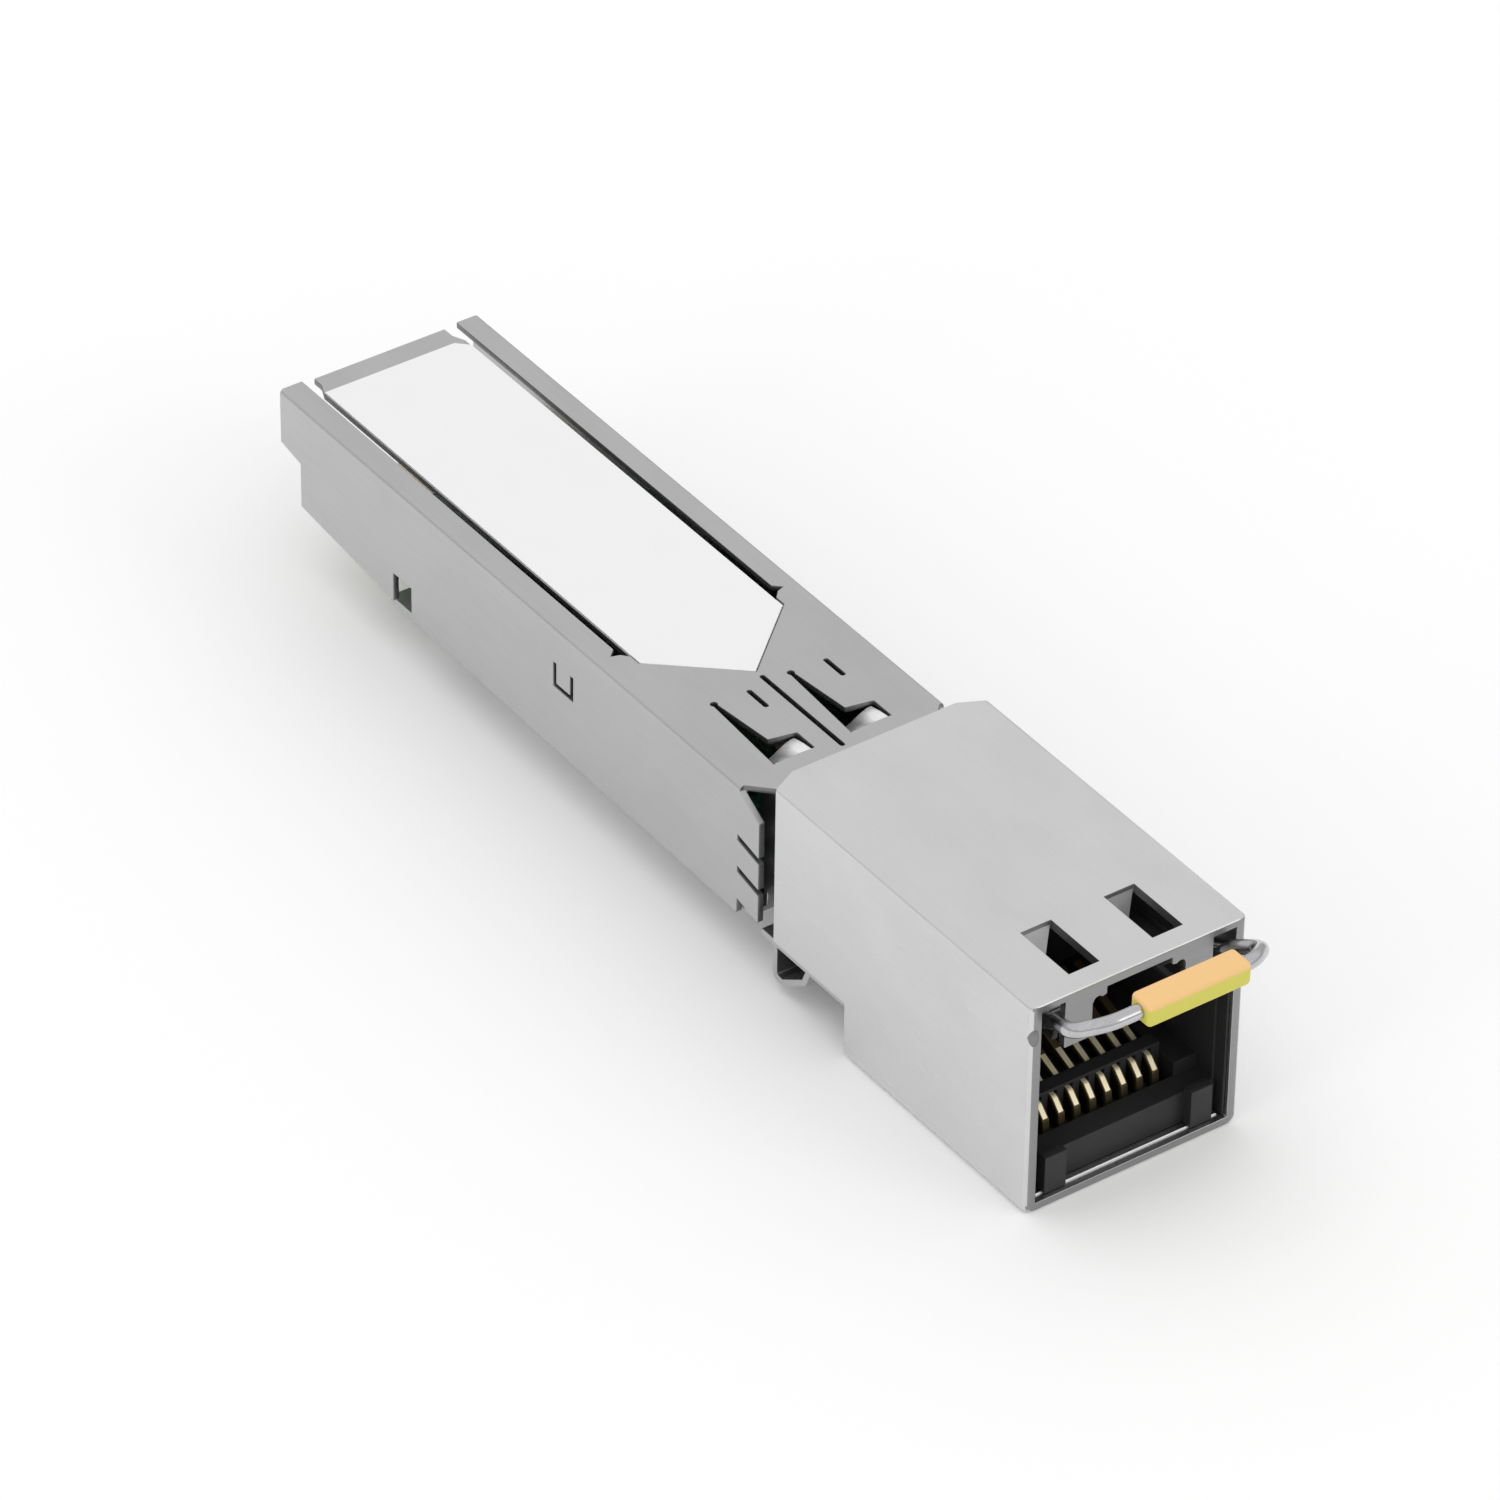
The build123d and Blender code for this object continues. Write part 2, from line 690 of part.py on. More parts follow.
# Socket insert: a moulded liner with ledges, a contact well, a latch slot and cradles
with BuildPart() as jack_insert:
    slab(-insert_half, insert_half, insert_front_y, insert_rear_y, insert_bottom_z, insert_top_z)
    slab(
        -plug_half, plug_half, insert_front_y - cut_margin, plug_rear_y,
        plug_bottom_z, plug_top_z, Mode.SUBTRACT,
    )
    well_front_y = insert_front_y + front_bar_length
    slab(
        -well_half, well_half, well_front_y, plug_rear_y,
        insert_floor_top_z, plug_bottom_z + cut_margin, Mode.SUBTRACT,
    )
    slab(
        -plug_half, plug_half, insert_front_y - cut_margin, well_front_y,
        front_bar_top_z, plug_bottom_z + cut_margin, Mode.SUBTRACT,
    )
    slab(
        -well_half, well_half, plug_rear_y - cut_margin, insert_rear_y + cut_margin,
        insert_floor_top_z, insert_floor_top_z + 2 * contact_thickness, Mode.SUBTRACT,
    )
    slab(-well_half, well_half, insert_rear_y, head_step_inner_y - insert_tail_gap, insert_bottom_z, insert_floor_top_z)
    slab(
        -latch_slot_half, latch_slot_half, insert_front_y - cut_margin, head_front_y + latch_slot_depth,
        plug_top_z - cut_margin, insert_top_z + cut_margin, Mode.SUBTRACT,
    )
    for side in (-1, 1):
        slab(
            side * block_x - block_width / 2, side * block_x + block_width / 2,
            insert_front_y - block_length, insert_front_y, insert_bottom_z, block_top_z,
        )
        # Corner slot that the bail's arm swings through, and the pocket for its tail
        slot_edges = sorted((side * (band_half + fit_gap), side * (insert_half + cut_margin)))
        slab(
            slot_edges[0], slot_edges[1], insert_front_y - cut_margin, bail_pivot_y + 2 * wire_radius,
            corner_slot_bottom_z, insert_top_z + cut_margin, Mode.SUBTRACT,
        )
        pocket_edges = sorted((side * (bail_stub_x - pocket_half), side * (bail_stub_x + pocket_half)))
        slab(
            pocket_edges[0], pocket_edges[1], insert_front_y - cut_margin, slide_tab_front_y,
            plug_top_z - cut_margin, insert_top_z + cut_margin, Mode.SUBTRACT,
        )
        slab(
            side * cradle_x - cradle_thickness / 2, side * cradle_x + cradle_thickness / 2,
            insert_front_y, bail_pivot_y + cradle_half_length,
            insert_top_z - insert_roof, cradle_top_z,
        )
    # Open-topped seats for the bail's stubs
    with BuildSketch(Plane.YZ):
        with Locations((bail_pivot_y, bail_pivot_z)):
            Circle(wire_radius + fit_gap)
        with Locations((bail_pivot_y, bail_pivot_z + cut_margin)):
            Rectangle(2 * (wire_radius + fit_gap), 2 * cut_margin)
    extrude(amount=insert_half, both=True, mode=Mode.SUBTRACT)
finish(jack_insert, "jack_insert")

# Comb: a bar across the well, with a tooth between each two contacts
with BuildPart() as contact_comb:
    comb_half = well_half - fit_gap / 2
    comb_front_y = head_front_y + comb_depth
    slab(
        -comb_half, comb_half, comb_front_y, comb_front_y + comb_length,
        insert_floor_top_z, comb_top_z,
    )
    for index in range(contact_count):
        contact_x = first_contact_x + index * contact_pitch
        slab(
            contact_x - comb_slot / 2, contact_x + comb_slot / 2, comb_front_y - cut_margin,
            comb_front_y + comb_length + cut_margin, insert_floor_top_z - cut_margin, comb_top_z - comb_bar, Mode.SUBTRACT,
        )
finish(contact_comb, "contact_comb")

# Contacts: each a bent strip from the board, along the floor and back up into the plug's space
contact_corners = (
    (contact_riser_y, contact_floor_z),
    (head_front_y + contact_nose_depth, contact_floor_z),
    (head_front_y + contact_knee_depth, contact_knee_z),
    (head_front_y + contact_crest_depth, contact_crest_z),
    (head_front_y + contact_rise_depth, contact_rise_z),
    (head_front_y + contact_tip_depth, contact_tip_z),
)
for index in range(contact_count):
    contact_x = first_contact_x + index * contact_pitch
    with BuildPart() as contact:
        with BuildSketch(Plane.YZ.offset(contact_x - contact_width / 2)):
            with BuildLine() as spring_path:
                FilletPolyline(*contact_corners, radius=contact_bend)
            trace(line_width=contact_thickness)
            with Locations((contact_riser_y, (contact_board_z + contact_floor_z) / 2)):
                Rectangle(contact_thickness, contact_board_z - contact_floor_z + contact_thickness)
            with Locations((contact_riser_y + contact_tail_length / 2, contact_board_z)):
                Rectangle(contact_tail_length, contact_thickness)
        extrude(amount=contact_width)
    finish(contact, f"contact_{index + 1}")

# Circuit board: a narrow neck in the head, the full body width, and the edge connector
with BuildPart() as main_board:
    with BuildSketch(Plane.XY.offset(board_bottom_z)):
        with BuildLine():
            Polyline(
                (-board_neck_half, board_front_y),
                (board_neck_half, board_front_y),
                (board_neck_half, board_shoulder_y),
                (board_half, board_shoulder_y),
                (board_half, board_edge_y),
                (board_edge_half, board_edge_y),
                (board_edge_half, board_end_y),
                (-board_edge_half, board_end_y),
                (-board_edge_half, board_edge_y),
                (-board_half, board_edge_y),
                (-board_half, board_shoulder_y),
                (-board_neck_half, board_shoulder_y),
                close=True,
            )
        make_face()
    extrude(amount=board_thickness)
    rear_edges = main_board.faces().sort_by(Axis.Y)[-1].edges().filter_by(Axis.X)
    chamfer(rear_edges, board_lead_in)
finish(main_board, "main_board")

# Plated pads on both faces of the board's edge
pad_middle_y = board_end_y - board_lead_in - pad_length / 2
for pad_name, pad_z in (
    ("edge_pads_top", board_top_z),
    ("edge_pads_bottom", board_bottom_z - pad_thickness),
):
    with BuildPart() as pads:
        with BuildSketch(Plane.XY.offset(pad_z)):
            with Locations((0, pad_middle_y)):
                with GridLocations(pad_pitch, pad_length, pad_count, 1):
                    Rectangle(pad_width, pad_length)
        extrude(amount=pad_thickness)
    finish(pads, pad_name)

# Components soldered to the board's upper face
for component_name, component_size in (
    ("phy_chip", phy_chip_size),
    ("magnetics", magnetics_size),
    ("memory_chip", memory_size),
    ("crystal", crystal_size),
    ("regulator", regulator_size),
):
    centre_x, centre_y, size_x, size_y, size_z = component_size
    with BuildPart() as component:
        with BuildSketch(Plane.XY.offset(board_top_z)):
            with Locations((centre_x, centre_y)):
                Rectangle(size_x, size_y)
        extrude(amount=size_z)
        chamfer(component.faces().sort_by(Axis.Z)[-1].edges(), component_bevel)
    finish(component, component_name)

for index in range(capacitor_count):
    with BuildPart() as capacitor:
        with BuildSketch(Plane.XY.offset(board_top_z)):
            with Locations((capacitor_first[0] + index * capacitor_pitch, capacitor_first[1])):
                Rectangle(capacitor_size[0], capacitor_size[1])
        extrude(amount=capacitor_size[2])
    finish(capacitor, f"capacitor_{index + 1}")

for index in range(coupling_count):
    coupling_x = (index - (coupling_count - 1) / 2) * coupling_pitch
    with BuildPart() as coupling:
        with BuildSketch(Plane.XY.offset(board_top_z)):
            with Locations((coupling_x, coupling_y)):
                Rectangle(coupling_size[0], coupling_size[1])
        extrude(amount=coupling_size[2])
    finish(coupling, f"coupling_capacitor_{index + 1}")

# Bail: one bent wire, in the plane that rises forward from its pivot
reach_y = -cos(radians(bail_rise))
reach_z = sin(radians(bail_rise))


def on_bail(x, reach):
    return (x, bail_pivot_y + reach * reach_y, bail_pivot_z + reach * reach_z)


half_route = [
    (on_bail(bail_stub_x, 0), None),
    (on_bail(bail_arm_x, 0), bail_stub_bend),
    (on_bail(bail_arm_x, bail_splay_start), bail_splay_bend),
    (on_bail(bail_corner_x, bail_corner_reach), bail_corner_bend),
    (on_bail(bail_bar_x, bail_bar_reach), bail_bar_bend),
]
right_points = [point for point, radius in half_route]
left_points = [(-point[0], point[1], point[2]) for point in reversed(right_points)]
right_radii = [radius for point, radius in half_route if radius]
with BuildPart() as bail_wire:
    with BuildLine() as route:
        FilletPolyline(*right_points, *left_points, radius=right_radii + right_radii[::-1])
    with BuildSketch(Plane(origin=route.line @ 0, z_dir=route.line % 0)):
        Circle(wire_radius)
    sweep(path=route.line)
    # The wire's two ends are pressed flat and point down and forward, to push the slide's fingers
    for side in (-1, 1):
        tail_plane = Plane(
            origin=on_bail(side * bail_stub_x, 0),
            x_dir=(1, 0, 0),
            z_dir=(0, -sin(radians(bail_tail_angle)), -cos(radians(bail_tail_angle))),
        )
        with BuildSketch(tail_plane.offset(-bail_tail_half)):
            Rectangle(bail_tail_width, 2 * bail_tail_half)
        extrude(amount=bail_tail_length + bail_tail_half)
finish(bail_wire, "bail_wire")

# Sleeve: a soft grip on the bail's bar, a rounded square with a round bore
bar_centre = on_bail(sleeve_offset, bail_bar_reach)
with BuildPart() as bail_sleeve:
    with BuildSketch(Plane.YZ.offset(sleeve_offset - sleeve_length / 2)):
        with Locations((bar_centre[1], bar_centre[2])):
            RectangleRounded(sleeve_depth, sleeve_height, sleeve_round)
            Circle(wire_radius + fit_gap, mode=Mode.SUBTRACT)
    extrude(amount=sleeve_length)
finish(bail_sleeve, "bail_sleeve")

# Release slide: two arms over the socket, legs down behind it, and a plate with a cam lip
with BuildPart() as release_slide:
    for side in (-1, 1):
        arm = sorted((side * slide_arm_inner, side * slide_arm_outer))
        tab = sorted((side * (bail_stub_x - slide_finger_half), side * slide_arm_outer))
        finger = sorted((side * (bail_stub_x - slide_finger_half), side * (bail_stub_x + slide_finger_half)))
        slab(
            arm[0], arm[1], slide_arm_front_y, slide_leg_y + slide_sheet,
            slide_arm_bottom_z, slide_arm_top_z,
        )
        slab(
            tab[0], tab[1], slide_tab_front_y, slide_tab_rear_y,
            slide_arm_bottom_z, slide_arm_top_z,
        )
        slab(
            finger[0], finger[1], slide_finger_front_y, slide_tab_rear_y,
            slide_arm_bottom_z, slide_arm_top_z,
        )
        slab(
            arm[0], arm[1], slide_leg_y, slide_leg_y + slide_sheet,
            slide_plate_bottom_z, slide_arm_top_z,
        )
        slab(
            arm[0], arm[1], slide_leg_y, slide_plate_front_y + slide_overlap,
            slide_plate_bottom_z, slide_plate_top_z,
        )
    slab(
        -slide_plate_half, slide_plate_half, slide_plate_front_y, slide_plate_rear_y,
        slide_plate_bottom_z, slide_plate_top_z,
    )
    # Cam lip: a straight rear leg, a rounded nose and a slope back up to the plate
    half_sheet = slide_plate_sheet / 2
    plate_middle_z = slide_plate_top_z - half_sheet
    with BuildSketch(Plane.YZ.offset(-slide_plate_half)):
        with BuildLine():
            FilletPolyline(
                (lip_rear_y - half_sheet, plate_middle_z),
                (lip_rear_y - half_sheet, lip_bend - lip_depth),
                (lip_nose_y, half_sheet - lip_depth),
                (lip_knee_y, lip_knee_z),
                (lip_front_y + half_sheet, plate_middle_z),
                radius=lip_bend,
            )
        trace(line_width=slide_plate_sheet)
    extrude(amount=2 * slide_plate_half)
finish(release_slide, "release_slide")
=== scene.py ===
# %% [markdown]
# # Dressing a pluggable network module
# The object is a slim module that slides into a cage. A folded body carries a circuit board, and
# a taller head holds a socket for a copper plug. A wire bail at the front pulls the module out.
# Its shape arrives ready made, as one frame of named pieces, so this lesson is about looks:
# softened folds, plated metal, moulded black plastic, gold contacts and a wire that is truly bent.
# Loading the frame comes first, because every other piece takes its place from it.

# %% Load the frame
import json
import math

import bmesh
import bpy
from mathutils import Matrix, Vector


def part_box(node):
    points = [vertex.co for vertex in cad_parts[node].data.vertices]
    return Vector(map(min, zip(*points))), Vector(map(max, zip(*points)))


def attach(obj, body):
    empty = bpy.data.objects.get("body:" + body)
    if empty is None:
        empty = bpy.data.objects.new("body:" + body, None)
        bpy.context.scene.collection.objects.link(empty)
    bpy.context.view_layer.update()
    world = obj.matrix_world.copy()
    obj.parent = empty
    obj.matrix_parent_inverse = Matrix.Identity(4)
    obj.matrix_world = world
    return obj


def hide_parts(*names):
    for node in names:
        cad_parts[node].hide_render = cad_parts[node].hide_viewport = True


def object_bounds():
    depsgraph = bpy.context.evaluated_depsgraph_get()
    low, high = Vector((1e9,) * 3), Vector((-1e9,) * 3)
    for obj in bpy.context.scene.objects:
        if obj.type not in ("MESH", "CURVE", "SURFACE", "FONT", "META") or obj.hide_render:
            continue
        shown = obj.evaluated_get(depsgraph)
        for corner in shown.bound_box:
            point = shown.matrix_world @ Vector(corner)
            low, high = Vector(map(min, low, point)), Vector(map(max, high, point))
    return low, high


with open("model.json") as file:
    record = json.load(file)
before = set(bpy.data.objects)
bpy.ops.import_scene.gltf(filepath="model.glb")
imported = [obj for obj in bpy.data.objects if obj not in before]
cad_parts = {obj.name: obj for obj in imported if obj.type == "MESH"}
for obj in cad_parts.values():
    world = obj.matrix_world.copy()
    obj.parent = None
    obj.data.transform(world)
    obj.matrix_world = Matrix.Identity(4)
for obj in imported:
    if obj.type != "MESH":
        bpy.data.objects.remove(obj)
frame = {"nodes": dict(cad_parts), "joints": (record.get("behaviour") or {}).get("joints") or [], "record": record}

MM = 0.001
cad_low, cad_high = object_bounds()

# %% [markdown]
# # Camera
# A long lens from half a metre away keeps the module's edges almost parallel, as in the picture.
# A camera could be aimed by hand in the view, but here its angles, distance and aim are named
# values, so that the view can be read and changed. The roll is under one degree.

# %% Camera angles
view_azimuth = math.radians(-35.72)
view_elevation = math.radians(36.87)
view_roll = math.radians(0.81)
towards_camera = Vector((
    math.sin(view_azimuth) * math.cos(view_elevation),
    -math.cos(view_azimuth) * math.cos(view_elevation),
    math.sin(view_elevation),
))
level_right = Vector((math.cos(view_azimuth), math.sin(view_azimuth), 0))
level_up = towards_camera.cross(level_right)
camera_right = level_right * math.cos(view_roll) + level_up * math.sin(view_roll)
camera_up = level_up * math.cos(view_roll) - level_right * math.sin(view_roll)
print("the camera looks from", [round(value, 3) for value in towards_camera])

# %% Camera
view_distance = 490.5 * MM
view_centre = Vector((0, 12.0, 4.0)) * MM
view_nudge = (0.44 * MM, -1.27 * MM)
camera_data = bpy.data.cameras.new("portrait_camera")
camera_data.lens = 217.7
camera_data.sensor_width = 36
camera_data.clip_start = 10 * MM
camera_data.clip_end = 20
camera = bpy.data.objects.new("portrait_camera", camera_data)
bpy.context.collection.objects.link(camera)
aim = view_centre + camera_right * view_nudge[0] + camera_up * view_nudge[1]
turn = Matrix((camera_right, camera_up, towards_camera)).transposed()
camera.matrix_world = Matrix.Translation(aim + towards_camera * view_distance) @ turn.to_4x4()
bpy.context.scene.camera = camera
bpy.context.scene.view_settings.view_transform = "Standard"
print("camera stands at", [round(value, 3) for value in camera.matrix_world.translation])

# %% [markdown]
# # Floor and world
# The picture has a plain white ground and very even light. A light tent gives the same: a white
# world all round, and broad lamps far away that add a little direction. The floor is pale paper,
# and pure white where it is seen or mirrored, so that it melts into the world and still keeps
# the object's soft shadow. Where metal mirrors it, it also glows a little, because the object's
# own shade would else darken its sides. Far from the object, beyond the lamps' reach, it glows
# where it is seen, so that it has no visible end. More light on everything would whiten it too,
# but would wash out the label.

# %% Floor
def math_step(tree, operation, first, second):
    step = tree.nodes.new("ShaderNodeMath")
    step.operation = operation
    for slot, value in enumerate((first, second)):
        if isinstance(value, float):
            step.inputs[slot].default_value = value
        else:
            tree.links.new(value, step.inputs[slot])
    return step.outputs[0]


floor_height, floor_reach = cad_low.z, 1.6
mirror_glow, far_glow = 0.13, 0.2
far_glow_from, far_glow_to = 60 * MM, 400 * MM
floor_build = bmesh.new()
bmesh.ops.create_grid(floor_build, x_segments=1, y_segments=1, size=floor_reach)
bmesh.ops.translate(floor_build, verts=floor_build.verts, vec=(0, 0, floor_height))
floor_mesh = bpy.data.meshes.new("floor")
floor_build.to_mesh(floor_mesh)
floor_build.free()
floor = bpy.data.objects.new("floor", floor_mesh)
bpy.context.collection.objects.link(floor)

floor_paint = bpy.data.materials.new("floor_paint")
floor_paint.use_nodes = True
floor_tree = floor_paint.node_tree
floor_shader = floor_tree.nodes["Principled BSDF"]
floor_shader.inputs["Roughness"].default_value = 0.9
floor_shader.inputs["Specular IOR Level"].default_value = 0.0
floor_rays = floor_tree.nodes.new("ShaderNodeLightPath").outputs
floor_seen = math_step(floor_tree, "MAXIMUM", floor_rays["Is Camera Ray"], floor_rays["Is Glossy Ray"])
floor_seen = math_step(floor_tree, "MAXIMUM", floor_seen, floor_rays["Is Transmission Ray"])
floor_tone = floor_tree.nodes.new("ShaderNodeMix")
floor_tone.data_type = "RGBA"
floor_tone.inputs["A"].default_value = (0.90, 0.90, 0.90, 1)
floor_tone.inputs["B"].default_value = (1, 1, 1, 1)
floor_tree.links.new(floor_seen, floor_tone.inputs["Factor"])
floor_tree.links.new(floor_tone.outputs["Result"], floor_shader.inputs["Base Color"])
floor_shader.inputs["Emission Color"].default_value = (1, 1, 1, 1)
floor_place = floor_tree.nodes.new("ShaderNodeTexCoord")
from_object = floor_tree.nodes.new("ShaderNodeVectorMath")
from_object.operation = "LENGTH"
floor_tree.links.new(floor_place.outputs["Object"], from_object.inputs[0])
far_away = floor_tree.nodes.new("ShaderNodeMapRange")
far_away.interpolation_type = "SMOOTHSTEP"
far_away.inputs["From Min"].default_value = far_glow_from
far_away.inputs["From Max"].default_value = far_glow_to
far_away.inputs["To Max"].default_value = far_glow
floor_tree.links.new(from_object.outputs["Value"], far_away.inputs["Value"])
floor_far_glow = math_step(floor_tree, "MULTIPLY", floor_rays["Is Camera Ray"], far_away.outputs["Result"])
floor_glow = math_step(floor_tree, "MULTIPLY", floor_rays["Is Glossy Ray"], mirror_glow)
floor_glow = math_step(floor_tree, "ADD", floor_glow, floor_far_glow)
floor_tree.links.new(floor_glow, floor_shader.inputs["Emission Strength"])
floor.data.materials.append(floor_paint)
print("floor at", round(floor_height / MM, 2), "mm")

# %% World
lighting_level = 0.86
world = bpy.data.worlds.new("light_tent")
world.use_nodes = True
sky = world.node_tree
tent = sky.nodes["Background"]
tent.inputs["Color"].default_value = (1, 1, 1, 1)
direction = sky.nodes.new("ShaderNodeTexCoord")
height = sky.nodes.new("ShaderNodeSeparateXYZ")
sky.links.new(direction.outputs["Generated"], height.inputs["Vector"])
mirrored = sky.nodes.new("ShaderNodeMapRange")
mirrored.interpolation_type = "SMOOTHSTEP"
mirrored.inputs["From Min"].default_value = 0.02
mirrored.inputs["From Max"].default_value = 0.42
mirrored.inputs["To Min"].default_value = 0.45
mirrored.inputs["To Max"].default_value = 1.0
sky.links.new(height.outputs["Z"], mirrored.inputs["Value"])
path = sky.nodes.new("ShaderNodeLightPath")
seen = math_step(sky, "MAXIMUM", path.outputs["Is Camera Ray"], path.outputs["Is Transmission Ray"])
seen_level = math_step(sky, "MULTIPLY", seen, 1.0 - lighting_level)
plain_level = math_step(sky, "ADD", seen_level, lighting_level)
strength = sky.nodes.new("ShaderNodeMix")
sky.links.new(path.outputs["Is Glossy Ray"], strength.inputs["Factor"])
sky.links.new(plain_level, strength.inputs["A"])
sky.links.new(mirrored.outputs["Result"], strength.inputs["B"])
sky.links.new(strength.outputs["Result"], tent.inputs["Strength"])
bpy.context.scene.world = world
print("world lights at", lighting_level, "and its mirrored rim is darker")

# %% [markdown]
# # Lamps
# Three broad discs, each about a metre away. One hangs overhead, one stands by the long side,
# and a weak one looks into the socket from the front, where the contacts would else be lost in
# the dark. The first two aren't mirrored in the metal, because their glare would whiten the
# folds. Small lamps would draw hard shadows that the picture doesn't have.

# %% Lamps
def add_lamp(name, place, size, power, mirrored_in_metal):
    lamp_data = bpy.data.lights.new(name, "AREA")
    lamp_data.shape = "DISK"
    lamp_data.size = size
    lamp_data.energy = power
    lamp = bpy.data.objects.new(name, lamp_data)
    bpy.context.collection.objects.link(lamp)
    lamp.location = place
    lamp.rotation_euler = (-Vector(place)).to_track_quat("-Z", "Y").to_euler()
    lamp.visible_glossy = mirrored_in_metal
    return lamp


add_lamp("overhead_softbox", (-0.30, 0.10, 1.10), 0.7, 1.3, False)
add_lamp("side_softbox", (-1.10, -0.10, 0.45), 0.5, 1.2, False)
add_lamp("front_softbox", (0.42, -0.86, 0.52), 0.5, 0.8, True)
print("lamps:", [lamp.name for lamp in bpy.data.lights])

# %% [markdown]
# # Helpers for finishes
# Every finish starts from the same few steps: a shader, the piece's own coordinates, and noise
# that is stretched or scaled to the size of the real grain. The coordinates are in metres, so a
# pattern of a tenth of a millimetre needs a scale near ten thousand. Painting pictures on the
# pieces would also work, but a procedural finish stays sharp at any distance.

# %% Start, scale and noise
def start_finish(name):
    made = bpy.data.materials.new(name)
    made.use_nodes = True
    tree = made.node_tree
    place = tree.nodes.new("ShaderNodeTexCoord")
    return made, tree, tree.nodes["Principled BSDF"], place.outputs["Object"]


def scaled(tree, place, scale):
    mapping = tree.nodes.new("ShaderNodeMapping")
    mapping.inputs["Scale"].default_value = scale
    tree.links.new(place, mapping.inputs["Vector"])
    return mapping.outputs["Vector"]


def grain(tree, place, scale, detail=3.0):
    noise = tree.nodes.new("ShaderNodeTexNoise")
    noise.inputs["Scale"].default_value = 1.0
    noise.inputs["Detail"].default_value = detail
    tree.links.new(scaled(tree, place, scale), noise.inputs["Vector"])
    return noise.outputs["Fac"]


print("helpers for finishes:", [helper.__name__ for helper in (start_finish, scaled, grain)])

# %% Spread, tint and relief
def spread(tree, factor, low, high):
    ranged = tree.nodes.new("ShaderNodeMapRange")
    ranged.inputs["From Min"].default_value = 0.3
    ranged.inputs["From Max"].default_value = 0.7
    ranged.inputs["To Min"].default_value = low
    ranged.inputs["To Max"].default_value = high
    tree.links.new(factor, ranged.inputs["Value"])
    return ranged.outputs["Result"]


def tint(tree, factor, low, high):
    mix = tree.nodes.new("ShaderNodeMix")
    mix.data_type = "RGBA"
    mix.inputs["A"].default_value = (*low, 1)
    mix.inputs["B"].default_value = (*high, 1)
    tree.links.new(factor, mix.inputs["Factor"])
    return mix.outputs["Result"]


def relief(tree, shader, height, strength, depth):
    bump = tree.nodes.new("ShaderNodeBump")
    bump.inputs["Strength"].default_value = strength
    bump.inputs["Distance"].default_value = depth
    tree.links.new(height, bump.inputs["Height"])
    tree.links.new(bump.outputs["Normal"], shader.inputs["Normal"])


def shade(colour, share):
    return tuple(channel * share for channel in colour)


print("half of a light grey is", shade((0.6, 0.6, 0.6), 0.5))

# %% [markdown]
# # Sheet metal
# The body is thin steel strip, plated and slightly dull, and the head is brighter tin plate.
# Rolling leaves fine lines along the strip, so the noise is stretched along the module. The
# lines move the roughness and make a very shallow relief, and a slow cloud varies the tone.
# Where the sheet was cut, the bare steel is darker and coarser, so it has a finish of its own,
# and so have the head's formed front rim, the two springs in its windows, and the two tabs
# behind it, which the cage rubs bright on one side.

# %% Sheet metal finishes
def rolled_sheet(name, colour, roughness, stretch, metallic=1.0):
    made, tree, shader, place = start_finish(name)
    lines = grain(tree, place, stretch)
    clouds = grain(tree, place, (260, 160, 260), 2.0)
    tone = tint(tree, spread(tree, clouds, 0.0, 1.0), shade(colour, 0.97), shade(colour, 1.02))
    tree.links.new(tone, shader.inputs["Base Color"])
    shader.inputs["Metallic"].default_value = metallic
    tree.links.new(spread(tree, lines, roughness - 0.05, roughness + 0.06), shader.inputs["Roughness"])
    relief(tree, shader, lines, 0.25, 0.004 * MM)
    return made


body_metal = rolled_sheet("body_metal", (0.455, 0.455, 0.46), 0.36, (9000, 300, 9000))
head_metal = rolled_sheet("head_metal", (0.60, 0.60, 0.60), 0.32, (9000, 300, 9000))
# The cut-edge finish is partly the duller bare steel of a cut, partly painted shade in grooves and window walls.
cut_edge_and_painted_shade = rolled_sheet("cut_edge_and_painted_shade", (0.24, 0.24, 0.244), 0.5, (4000, 4000, 9000))
# The rim finish is a darker copy of the head metal: painted shade on the faces that look forward.
rim_painted_shade = rolled_sheet("rim_painted_shade", (0.28, 0.28, 0.28), 0.4, (300, 9000, 9000))
spring_metal = rolled_sheet("spring_metal", (0.50, 0.50, 0.50), 0.45, (9000, 9000, 600), metallic=0.35)
sheet_finishes = (body_metal, head_metal, cut_edge_and_painted_shade, rim_painted_shade, spring_metal)
print("sheet metal finishes:", [made.name for made in sheet_finishes])

# %% Tab finish
# The tab finish runs from painted shade on the sunk left of each tab to a painted highlight on its raised right,
# with scratches in it.
tab_middles = (-2.7 * MM, 2.35 * MM)
tab_left, tab_right = -1.23 * MM, 1.13 * MM
painted_shade_until, painted_highlight_from = 1.0 * MM, 1.7 * MM


